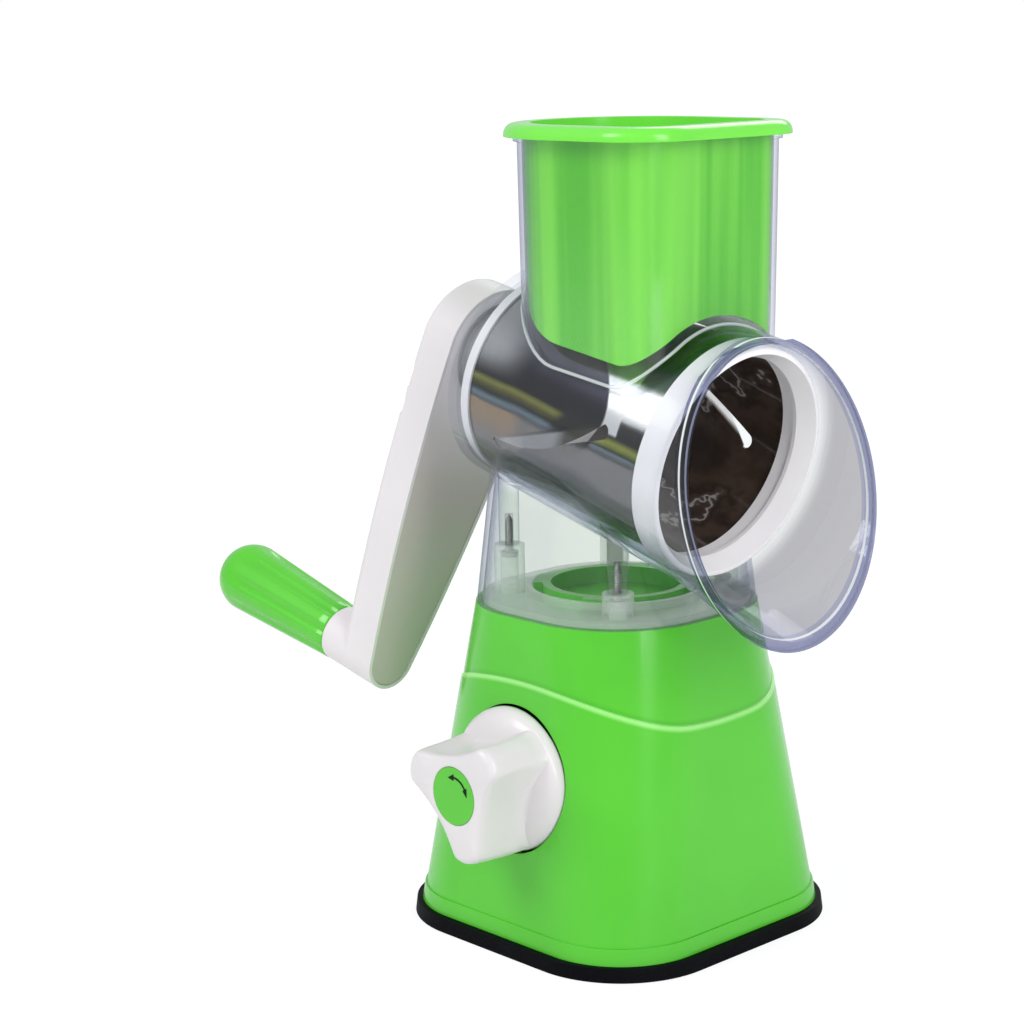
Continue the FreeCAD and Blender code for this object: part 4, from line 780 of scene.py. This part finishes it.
class Paints:
    """The materials, each made once."""

    def __init__(self) -> None:
        """Start with no material made."""
        self._made: dict[str, bpy.types.Material] = {}

    def dress(self, piece: bpy.types.Object, finish: object) -> None:
        """Give a piece one finish all over.

        Args:
            piece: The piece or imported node.
            finish: The finish, with a name and a make method.
        """
        if finish.name not in self._made:
            self._made[finish.name] = finish.make()
        material = self._made[finish.name]
        if not piece.material_slots:
            piece.data.materials.append(material)
        for place in piece.material_slots:
            place.material = material


# ---------------------------------------------------------------------------
# Modelling
# ---------------------------------------------------------------------------


class Modelling:
    """The hand tools that new pieces are made with."""

    @staticmethod
    def start(piece: bpy.types.Object | None = None) -> None:
        """Deselect everything, and pick the piece if one is given."""
        bpy.ops.object.select_all(action="DESELECT")
        if piece is not None:
            piece.select_set(True)
            bpy.context.view_layer.objects.active = piece

    @staticmethod
    def ring(name: str, points: Sequence[Point]) -> bpy.types.Object:
        """Add a closed ring of edges through points, in millimetres.

        Args:
            name: The new piece's name.
            points: The ring's points in order.

        Returns:
            The new piece, holding the ring alone.
        """
        Modelling.start()
        bpy.ops.mesh.primitive_circle_add(vertices=len(points), radius=1.0, fill_type="NOTHING")
        piece = bpy.context.object
        piece.name = name
        piece.data.name = name
        for vertex, point in zip(piece.data.vertices, points):
            vertex.co = Vector(point) * MM
        return piece

    @staticmethod
    def pick(piece: bpy.types.Object, numbers: Sequence[int]) -> None:
        """Select some of the vertices of the piece in edit mode, and nothing else."""
        bpy.ops.mesh.select_all(action="DESELECT")
        mesh = bmesh.from_edit_mesh(piece.data)
        mesh.verts.ensure_lookup_table()
        for number in numbers:
            mesh.verts[number].select = True
        mesh.select_flush(True)
        bmesh.update_edit_mesh(piece.data)

    @staticmethod
    def skin(
        name: str, rings: Sequence[Sequence[Point]], join_ends: bool = False
    ) -> bpy.types.Object:
        """Draw a ring out through further rings of as many points.

        Args:
            name: The new piece's name.
            rings: The rings, each with the same number of points, in millimetres.
            join_ends: Whether the last ring is bridged to the first, not both filled.

        Returns:
            The new piece, with its normals outward.
        """
        piece = Modelling.ring(name, rings[0])
        count = len(rings[0])
        bpy.ops.object.mode_set(mode="EDIT")
        bpy.ops.mesh.select_mode(type="EDGE")
        bpy.ops.mesh.select_all(action="SELECT")
        order = list(range(count))
        for ring in rings[1:]:
            mesh = bmesh.from_edit_mesh(piece.data)
            mesh.verts.ensure_lookup_table()
            before = {Modelling.key(mesh.verts[i].co): k for k, i in enumerate(order)}
            bpy.ops.mesh.extrude_edges_move()
            mesh = bmesh.from_edit_mesh(piece.data)
            mesh.verts.index_update()
            order = [0] * count
            for vertex in [v for v in mesh.verts if v.select]:
                place = before[Modelling.key(vertex.co)]
                order[place] = vertex.index
                vertex.co = Vector(ring[place]) * MM
            bmesh.update_edit_mesh(piece.data)
        if join_ends:
            Modelling.pick(piece, list(range(count)) + order)
            bpy.ops.mesh.bridge_edge_loops()
        else:
            bpy.ops.mesh.edge_face_add()
            Modelling.pick(piece, range(count))
            bpy.ops.mesh.edge_face_add()
        bpy.ops.mesh.select_all(action="SELECT")
        bpy.ops.mesh.normals_make_consistent(inside=False)
        bpy.ops.object.mode_set(mode="OBJECT")
        return piece

    @staticmethod
    def key(place: Vector) -> Point:
        """Give a vertex's place rounded, to find it again after an extrusion."""
        return tuple(round(c, 7) for c in place)

    @staticmethod
    def smooth(piece: bpy.types.Object, angle: float = 35.0) -> None:
        """Shade a piece smooth except at edges sharper than an angle in degrees."""
        Modelling.start(piece)
        bpy.ops.object.shade_smooth_by_angle(angle=math.radians(angle))


def join(piece: bpy.types.Object, body: Body, slot: Slot, *nodes: str) -> None:
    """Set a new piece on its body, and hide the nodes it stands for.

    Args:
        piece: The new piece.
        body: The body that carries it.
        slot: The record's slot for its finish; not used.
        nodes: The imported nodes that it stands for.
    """
    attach(piece, body.value)
    if nodes:
        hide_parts(*nodes)
    LOG.info("made %s: %d faces on %s", piece.name, len(piece.data.polygons), body.value)


# ---------------------------------------------------------------------------
# Sub-assemblies
# ---------------------------------------------------------------------------


@dataclass
class SubAssembly:
    """A group of pieces that is modelled and dressed together."""

    paints: Paints

    def node(self, name: str) -> bpy.types.Object:
        """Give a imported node's object."""
        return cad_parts[name]

    def build(self) -> None:
        """Model and dress the pieces."""
        raise NotImplementedError


@dataclass
class BaseStand(SubAssembly):
    """Green base shell on its rubber foot, with the suction parts inside."""

    def build(self) -> None:
        """Dress the base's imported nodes."""
        self.paints.dress(self.node("base_shell"), BASE_GREEN)
        self.paints.dress(self.node("foot_ring"), FOOT_RUBBER)
        self.paints.dress(self.node("suction_cup"), CUP_RUBBER)
        for name in ("suction_frame", "pull_stem", "cam_shaft"):
            self.paints.dress(self.node(name), INNER)
        for name in ("frame_screws", "shaft_clip", "knob_screw"):
            self.paints.dress(self.node(name), PLATED)


@dataclass
class SuctionKnob(SubAssembly):
    """White three-lobed knob with a domed flange and a green badge in its face.

    Each ring of the flange is given by its place and how far it is drawn in, each ring of
    the lobes by its place, how far the tips and the hollows stand out and how far it is
    drawn in, and each ring of the badge's seat by its place and its gap.
    """

    height: float = 59.7
    face: float = -78.8
    flange: float = 25.1
    flange_rings: tuple[tuple[float, float], ...] = (
        (-49.9, 0.8), (-50.4, 0.1), (-51.6, 0.0), (-52.6, 0.1),
    )
    dome_rings: tuple[float, ...] = (0.0, 0.3, 0.62, 0.86, 0.98)
    dome_start: float = -52.9
    dome_height: float = 7.2
    dome_foot: tuple[float, float] = (1.3, 1.4)
    lobe_rings: tuple[tuple[float, float, float, float], ...] = (
        (-60.4, 0.95, 0.5, 0.0), (-62.5, 0.85, 0.2, 0.0), (-67.0, 0.6, 0.0, 0.0),
        (-72.5, 0.3, 0.0, 0.0), (-76.0, 0.0, 0.0, 0.0), (-77.6, 0.0, 0.0, 0.4),
        (-78.4, 0.0, 0.0, 1.2), (-78.8, 0.0, 0.0, 2.6),
    )
    seat_rings: tuple[tuple[float, float], ...] = (
        (-78.8, 0.45), (-78.75, 0.2), (-78.2, 0.15), (-77.7, 0.1),
    )
    lobe_tip: float = 23.9
    lobe_round: float = 8.6
    waist: float = 13.6
    hollow: float = 60.0
    blend: float = 1.2
    phases: tuple[float, ...] = (43.0, 163.0, 283.0)
    points: int = 120
    badge: float = 10.0
    arrow_radius: float = 6.6
    arrow_ends: tuple[float, float] = (8.0, 112.0)
    arrow_width: float = 0.32
    arrow_head: float = 1.15
    arrow_tip: float = 0.05
    arrow_rise: float = 0.14
    arrow_steps: int = 14

    def reach(self, angle: float, out: float = 0.0, waist_out: float = 0.0) -> float:
        """Give the lobed outline's radius.

        Args:
            angle: The direction in degrees, from the right towards the top.
            out: How far the lobe tips stand out.
            waist_out: How far the hollows stand out.

        Returns:
            The radius in millimetres.
        """
        off = min(abs((angle - phase + 180) % 360 - 180) for phase in self.phases)
        side = math.radians(60 - off)
        centre = self.waist + waist_out + self.hollow
        chord = max(0.0, self.hollow**2 - (centre * math.sin(side)) ** 2)
        hollow = centre * math.cos(side) - math.sqrt(chord)
        if off > 30:
            return hollow
        stem = self.lobe_tip - self.lobe_round
        swing = stem * math.sin(math.radians(off))
        tip = math.sqrt((self.lobe_round + out) ** 2 - swing**2)
        cap = stem * math.cos(math.radians(off)) + tip
        share = max(0.0, min(1.0, 0.5 + 0.5 * (cap - hollow) / self.blend))
        return cap * (1 - share) + hollow * share - self.blend * share * (1 - share) * 0.5

    def at(self, angle: float, radius: float, y: float) -> Point:
        """Give the point at an angle in degrees and a radius about the knob's axis."""
        turn = math.radians(angle)
        return (radius * math.cos(turn), y, self.height + radius * math.sin(turn))

    def outline(self, y: float, out: float, waist_out: float, inset: float) -> list[Point]:
        """Give one lobed ring of points.

        Args:
            y: The ring's place along the knob's axis.
            out: How far the lobe tips stand out.
            waist_out: How far the hollows stand out.
            inset: How far the whole ring is drawn in.

        Returns:
            The ring's points.
        """
        reaches = [self.reach(angle, out, waist_out) - inset for angle in self.angles()]
        return [self.at(angle, reach, y) for angle, reach in zip(self.angles(), reaches)]

    def angles(self) -> list[float]:
        """Give the directions of a ring's points in degrees."""
        return [360 * k / self.points for k in range(self.points)]

    def circle(self, y: float, radius: float) -> list[Point]:
        """Give one round ring of points."""
        return [self.at(angle, radius, y) for angle in self.angles()]

    def dome(self, share: float) -> list[Point]:
        """Give a ring on the flange's dome, on its way to the lobes' foot.

        Args:
            share: 0 at the flange's edge and 1 at the foot of the lobes.

        Returns:
            The ring's points, further forward in the hollows than at the lobes.
        """
        ring = []
        edge = self.flange - 0.5
        for angle in self.angles():
            foot = min(self.reach(angle, *self.dome_foot), edge - 0.2)
            radius = edge + (foot - edge) * share
            rise = self.dome_height * math.sqrt(max(0.0, 1 - (radius / (edge + 0.4)) ** 2))
            ring.append(self.at(angle, radius, self.dome_start - rise))
        return ring

    def knob(self) -> bpy.types.Object:
        """Model the knob."""
        rings = [self.circle(y, self.flange - inset) for y, inset in self.flange_rings]
        rings += [self.dome(share) for share in self.dome_rings]
        rings += [self.outline(*ring) for ring in self.lobe_rings]
        rings += [self.circle(y, self.badge + gap) for y, gap in self.seat_rings]
        knob = Modelling.skin("suction_knob_star", rings)
        Modelling.smooth(knob, 50.0)
        return knob

    def arrow(self) -> bpy.types.Object:
        """Model the badge's raised turning arrow, with a head at each end."""
        first, last = self.arrow_ends
        head = math.degrees(2.4 * self.arrow_head / self.arrow_radius)
        start, end = first + head, last - head
        inner_steps = range(1, self.arrow_steps)
        spine = [start + 0.5]
        spine += [start + (last - first - 2 * head) * k / self.arrow_steps for k in inner_steps]
        spine.append(end - 0.5)
        widths = [(first, self.arrow_tip), (start, self.arrow_head)]
        widths += [(angle, self.arrow_width) for angle in spine]
        widths += [(end, self.arrow_head), (last, self.arrow_tip)]
        top = self.face - self.arrow_rise
        rings = []
        for angle, width in widths:
            inner, outer = self.arrow_radius - width, self.arrow_radius + width
            corners = ((inner, self.face), (outer, self.face), (outer, top), (inner, top))
            rings.append([self.at(angle, radius, y) for radius, y in corners])
        arrow = Modelling.skin("badge_arrow", rings)
        Modelling.smooth(arrow, 30.0)
        return arrow

    def build(self) -> None:
        """Model the knob and the arrow and dress them and the badge."""
        knob = self.knob()
        self.paints.dress(knob, WHITE)
        join(knob, Body.KNOB, Slot.WHITE, "knob")
        self.paints.dress(self.node("knob_badge"), GREEN)
        arrow = self.arrow()
        self.paints.dress(arrow, PRINT_INK)
        join(arrow, Body.KNOB, Slot.GREEN)


@dataclass
class ClearHousing(SubAssembly):
    """Clear housing with skirt, barrel, flare and feed tower, and its plate and screws."""

    barrel_rear: float = 44.6
    barrel_radius: float = 39.8
    barrel_flare: float = 3.8 / 101.6
    tower_middle: float = 10.2
    tower_half_x: float = 40.2
    tower_half_y: float = 37.6
    tower_corner: float = 16.5
    tower_back_flat: float = 0.7
    tower_inset: float = 1.1
    bead: float = 0.6
    seam_step: float = 2.0
    corner_steps: int = 16
    screw_reach: float = 26.4
    screw_feet: tuple[float, float] = (120.1, 129.3)
    screw_head: tuple[float, float] = (2.9, 2.0)
    head_round: tuple[float, float] = (0.4, 0.35)
    screw_shank: tuple[float, float] = (1.5, 15.2)
    screw_point: float = 2.2
    screw_steps: int = 60
    thread_pitch: float = 0.9
    thread_depth: float = 0.3
    cross: tuple[float, float] = (0.45, 1.6)
    cross_depth: float = 1.1

    def seam(self) -> list[Point]:
        """Give the line where the tower's outside meets the barrel."""
        half_x = self.tower_half_x - self.tower_inset
        half_y = self.tower_half_y - self.tower_inset
        back_corner = half_y - self.tower_back_flat
        corners = [
            (half_x, half_y, self.tower_corner, 0),
            (-half_x, half_y, back_corner, 90),
            (-half_x, -half_y, back_corner, 180),
            (half_x, -half_y, self.tower_corner, 270),
        ]
        plan = []
        for x, y, corner, start in corners:
            middle_x = self.tower_middle + x - math.copysign(corner, x)
            middle_y = y - math.copysign(corner, y)
            for k in range(self.corner_steps + 1):
                turn = math.radians(start + 90 * k / self.corner_steps)
                swing_x, swing_y = corner * math.cos(turn), corner * math.sin(turn)
                plan.append((middle_x + swing_x, middle_y + swing_y))
        line = []
        for (x, y), (next_x, next_y) in zip(plan, plan[1:] + plan[:1]):
            gap_x, gap_y = next_x - x, next_y - y
            count = max(1, round(math.hypot(gap_x, gap_y) / self.seam_step))
            line += [(x + gap_x * k / count, y + gap_y * k / count) for k in range(count)]
        return [(x, y, self.on_barrel(x, y)) for x, y in line]

    def on_barrel(self, x: float, y: float) -> float:
        """Give the barrel's height above a point of the plan."""
        axis_x, _, axis_z = DRUM_AXIS
        height = axis_z + self.barrel_radius
        for _ in range(12):
            along = (x - axis_x) * math.cos(TILT) - (height - axis_z) * math.sin(TILT)
            radius = self.barrel_radius + self.barrel_flare * (along + self.barrel_rear)
            up = math.sqrt(max(radius**2 - y**2, 0.0))
            height = axis_z + (up - (x - axis_x) * math.sin(TILT)) / math.cos(TILT)
        return height

    def seam_bead(self) -> bpy.types.Object:
        """Model the rounded bead along the seam."""
        line = [Vector(point) for point in self.seam()]
        turns = [math.radians(45 * k) for k in range(8)]
        rings = []
        for k, point in enumerate(line):
            forward = (line[(k + 1) % len(line)] - line[k - 1]).normalized()
            side = forward.cross(Vector((0, 0, 1))).normalized()
            over = side.cross(forward)
            spokes = [side * math.cos(t) + over * math.sin(t) for t in turns]
            rings.append([tuple(point + spoke * self.bead) for spoke in spokes])
        bead = Modelling.skin("tower_seam_bead", rings, join_ends=True)
        Modelling.smooth(bead, 60.0)
        return bead

    def screw(self) -> bpy.types.Object:
        """Model one pointed, threaded screw, standing on its crossed head."""
        radius, height = self.screw_head
        round_in, round_up = self.head_round
        shank, length = self.screw_shank
        width, arm = self.cross
        turns = [2 * math.pi * k / 24 for k in range(24)]

        def ring(z: float, reach: Callable[[float], float]) -> list[Point]:
            """Give a ring whose radius depends on the direction."""
            return [(reach(t) * math.cos(t), reach(t) * math.sin(t), z) for t in turns]

        def crossed(t: float) -> float:
            """Give the cross's outline."""
            wide, deep = abs(math.cos(t)) + 1e-6, abs(math.sin(t)) + 1e-6
            return max(min(width / wide, arm / deep), min(arm / wide, width / deep))

        rings = [
            ring(self.cross_depth, lambda t: crossed(t) * 0.6),
            ring(0.0, crossed),
            ring(0.0, lambda t: radius - round_in),
            ring(round_up, lambda t: radius),
            ring(height, lambda t: radius),
            ring(height, lambda t: shank),
        ]
        for k in range(1, self.screw_steps + 1):
            z = height + (length - height) * k / self.screw_steps
            taper = min(1.0, (length - z) / self.screw_point + 0.08)

            def threaded(t: float) -> float:
                """Give the thread's radius at this height."""
                rise = ((z / self.thread_pitch - t / (2 * math.pi)) % 1.0) * 2 - 1
                return (shank - self.thread_depth * abs(rise)) * taper

            rings.append(ring(z, threaded))
        screw = Modelling.skin("housing_screw_set", rings)
        Modelling.smooth(screw, 40.0)
        return screw

    def screws(self) -> bpy.types.Object:
        """Copy the screw to its four places and join the copies."""
        first = self.screw()
        copies = [first]
        for _ in range(3):
            copy = first.copy()
            copy.data = first.data.copy()
            bpy.context.scene.collection.objects.link(copy)
            copies.append(copy)
        for screw, (right, far) in zip(copies, ((1, 1), (1, -1), (-1, 1), (-1, -1))):
            foot = self.screw_feet[0] if right > 0 else self.screw_feet[1]
            shift = Vector((right * self.screw_reach, far * self.screw_reach, foot)) * MM
            screw.data.transform(Matrix.Translation(shift))
        Modelling.start(first)
        for copy in copies:
            copy.select_set(True)
        bpy.ops.object.join()
        return first

    def build(self) -> None:
        """Model the bead and the screws and dress the housing."""
        self.paints.dress(self.node("housing"), CLEAR)
        self.paints.dress(self.node("bayonet_plate"), CLEAR_PLATE)
        bead = self.seam_bead()
        self.paints.dress(bead, CLEAR_SEAM)
        join(bead, Body.HOUSING, Slot.CLEAR)
        screws = self.screws()
        self.paints.dress(screws, PLATED)
        join(screws, Body.HOUSING, Slot.SCREW, "housing_screws")


@dataclass
class ShredderDrum(SubAssembly):
    """Slotted steel drum with its white hub and front ring."""

    def build(self) -> None:
        """Dress the drum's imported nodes."""
        self.paints.dress(self.node("drum_shell"), STEEL)
        self.paints.dress(self.node("drum_hub"), RING_WHITE)
        self.paints.dress(self.node("drum_ring"), RING_WHITE)


@dataclass
class Crank(SubAssembly):
    """White crank arm with its cover, latch and axle, and the green fluted grip."""

    turn: float = math.radians(15.2)
    throw: float = 121.3
    start: float = -91.7
    shoulder: float = -150.6
    tip: float = -160.2
    near: float = 10.8
    far: float = 13.6
    bore: float = 3.58
    cavity: float = 5.08
    cavity_top: float = -148.0
    crown: float = 3.0
    crown_steps: int = 10
    flutes: int = 8
    flute_depth: float = 1.0
    flute_fade: float = 0.16
    flute_steps: int = 14
    points: int = 128

    def ring(self, station: float, radius: float, depth: float = 0.0) -> list[Point]:
        """Give a ring about the grip's axis.

        Args:
            station: Its place along the drum's axis.
            radius: Its radius between the flutes.
            depth: How deep the flutes are there.

        Returns:
            The ring's points.
        """
        ahead = Vector((math.cos(TILT), 0.0, -math.sin(TILT)))
        down = Vector((-math.sin(TILT), 0.0, -math.cos(TILT)))
        out = down * math.cos(self.turn) - Vector((0, 1, 0)) * math.sin(self.turn)
        side = ahead.cross(out)
        middle = Vector(DRUM_AXIS) + out * self.throw + ahead * station
        ring = []
        for k in range(self.points):
            turn = 2 * math.pi * k / self.points
            wave = max(0.0, math.cos(self.flutes * turn)) ** 0.8
            spoke = out * math.cos(turn) + side * math.sin(turn)
            ring.append(tuple(middle + spoke * (radius - depth * wave)))
        return ring

    def grip(self) -> bpy.types.Object:
        """Model the grip: a hollow for the axle, flutes that fade towards a domed end."""
        rings = [
            self.ring(self.shoulder, 0.6),
            self.ring(self.shoulder, self.cavity),
            self.ring(self.cavity_top, self.cavity),
            self.ring(self.cavity_top, self.bore),
            self.ring(self.start, self.bore),
            self.ring(self.start, self.near - 0.8, self.flute_depth * 0.6),
            self.ring(self.start - 0.25, self.near - 0.25, self.flute_depth * 0.9),
        ]
        crown = self.shoulder + self.crown
        first = self.start - 0.8
        for k in range(self.flute_steps + 1):
            share = k / self.flute_steps
            station = first + (crown - first) * share
            along = (self.start - station) / (self.start - self.shoulder)
            radius = self.near + (self.far - self.near) * along
            fade = max(0.0, min(1.0, (1 - share) / self.flute_fade))
            depth = self.flute_depth * fade * fade * (3 - 2 * fade)
            rings.append(self.ring(station, radius, depth))
        for k in range(1, self.crown_steps + 1):
            turn = math.radians(90 * k / (self.crown_steps + 0.5))
            radius = (self.far - 0.1) * math.cos(turn) ** 0.82
            rings.append(self.ring(crown + (self.tip - crown) * math.sin(turn), radius))
        rings.append(self.ring(self.tip, 0.5))
        grip = Modelling.skin("fluted_grip", rings)
        Modelling.smooth(grip, 50.0)
        return grip

    def build(self) -> None:
        """Model the grip and dress the crank's parts."""
        self.paints.dress(self.node("crank_arm"), WHITE)
        self.paints.dress(self.node("crank_cover"), COVER_WHITE)
        self.paints.dress(self.node("latch_slide"), WHITE)
        self.paints.dress(self.node("grip_axle"), PLATED)
        grip = self.grip()
        self.paints.dress(grip, GREEN)
        join(grip, Body.GRIP, Slot.GREEN, "grip")


@dataclass
class Pusher(SubAssembly):
    """Green pusher in the feed tower."""

    def build(self) -> None:
        """Dress the pusher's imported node."""
        self.paints.dress(self.node("pusher"), PUSHER_GREEN)


# ---------------------------------------------------------------------------
# Studio
# ---------------------------------------------------------------------------


@dataclass(frozen=True)
class Lamp:
    """One soft box: where it hangs, its width and height in metres, and its watts."""

    name: str
    place: Point
    size: tuple[float, float]
    power: float

    def hang(self, aim: Point) -> None:
        """Hang the lamp so that it faces a point."""
        data = bpy.data.lights.new(self.name, "AREA")
        data.shape = "RECTANGLE"
        data.size, data.size_y = self.size
        data.energy = self.power
        lamp = bpy.data.objects.new(self.name, data)
        towards = Vector(aim) - Vector(self.place)
        lamp.rotation_euler = towards.to_track_quat("-Z", "Y").to_euler()
        lamp.location = self.place
        bpy.context.scene.collection.objects.link(lamp)


@dataclass
class Studio:
    """Pale floor, soft lamps and the camera."""

    azimuth: float = 45.77
    distance: float = 831.27
    camera_height: float = 315.375
    pitch: float = 11.569
    yaw: float = 2.497
    roll: float = -0.943
    focal_pixels: float = 2427.5
    picture: int = 1024
    sensor: float = 36.0
    floor_size: float = 12.0
    floor_drop: float = 0.2 * MM
    floor_glow: float = 1.06
    shadow_share: float = 0.18
    room_colour: Colour = (0.93, 0.95, 1.0, 1)
    room_level: float = 0.66
    middle: Point = (0.0, 0.0, 0.15)
    lamps: tuple[Lamp, ...] = (
        Lamp("key box", (-0.5, -1.3, 1.3), (0.8, 0.8), 13.0),
        Lamp("side box", (1.4, -0.3, 0.8), (0.5, 1.2), 11.0),
        Lamp("back box", (-0.6, 1.3, 1.2), (1.0, 0.8), 8.0),
    )

    def camera(self) -> None:
        """Set the camera up."""
        azimuth, pitch = math.radians(self.azimuth), math.radians(self.pitch)
        yaw, roll = math.radians(self.yaw), math.radians(self.roll)
        towards = Vector((-math.cos(azimuth), math.sin(azimuth), 0.0))
        place = (Vector((0, 0, self.camera_height)) - towards * self.distance) * MM
        level = towards.copy()
        level.rotate(Euler((0, 0, yaw)))
        forward = level * math.cos(pitch) + Vector((0, 0, -math.sin(pitch)))
        right = forward.cross(Vector((0, 0, 1))).normalized()
        up = right.cross(forward)
        rolled_right = right * math.cos(roll) + up * math.sin(roll)
        rolled_up = up * math.cos(roll) - right * math.sin(roll)
        turn = Matrix((rolled_right, rolled_up, -forward)).transposed().to_4x4()
        data = bpy.data.cameras.new("camera")
        data.sensor_width = self.sensor
        data.lens = self.focal_pixels / self.picture * self.sensor
        data.clip_start = 0.01
        data.clip_end = 60.0
        camera = bpy.data.objects.new("camera", data)
        camera.matrix_world = Matrix.Translation(place) @ turn
        bpy.context.scene.collection.objects.link(camera)
        bpy.context.scene.camera = camera

    def floor(self) -> None:
        """Lay the pale floor, which shows white to the camera and keeps the shadow."""
        Modelling.start()
        bpy.ops.mesh.primitive_plane_add(size=self.floor_size, location=(0, 0, -self.floor_drop))
        plane = bpy.context.object
        plane.name = "studio_floor"
        nodes = Nodes("studio floor")
        grain = nodes.noise(nodes.place(), 30.0, 2.0)
        tone = nodes.mix(grain, (0.86, 0.86, 0.86, 1), (0.84, 0.84, 0.84, 1))
        paper = nodes.principled(Base_Color=tone, Roughness=0.9, Specular_IOR_Level=0.0)
        inputs = {"Color": (1, 1, 1, 1), "Strength": self.floor_glow}
        glow = nodes.add("ShaderNodeEmission", None, inputs).outputs[0]
        x, y, _ = nodes.parts(nodes.place())
        far = x.length_with(y).step(0.3, 1.6)
        share = self.seen(nodes) * (1 - self.shadow_share + self.shadow_share * far)
        plane.data.materials.append(nodes.show(nodes.blend(share, paper, glow)))

    @staticmethod
    def seen(nodes: Nodes) -> Value:
        """Give 1 for rays that see the backdrop straight or through clear plastic."""
        rays = nodes.add("ShaderNodeLightPath").outputs
        straight, through = rays["Is Camera Ray"], rays["Is Transmission Ray"]
        return Value(nodes, straight).greater(Value(nodes, through))

    def world(self) -> None:
        """Light the room evenly, with the background white to the camera."""
        nodes = Nodes("studio", world=True)
        inputs = {"Color": self.room_colour, "Strength": self.room_level}
        room = nodes.add("ShaderNodeBackground", None, inputs).outputs[0]
        white = nodes.add("ShaderNodeBackground", None, {"Color": (1, 1, 1, 1)}).outputs[0]
        bpy.context.scene.world = nodes.show(nodes.blend(self.seen(nodes), room, white))

    def build(self) -> None:
        """Set up the camera, the floor and the lamps."""
        self.camera()
        self.floor()
        self.world()
        for lamp in self.lamps:
            lamp.hang(self.middle)
        bpy.context.scene.view_settings.view_transform = "Standard"


def main() -> None:
    """Build the scene's parts in order."""
    Studio().build()
    paints = Paints()
    for part in (BaseStand, SuctionKnob, ClearHousing, ShredderDrum, Crank, Pusher):
        LOG.info("building %s", part.__name__)
        part(paints).build()


if __name__ == "__main__":
    main()
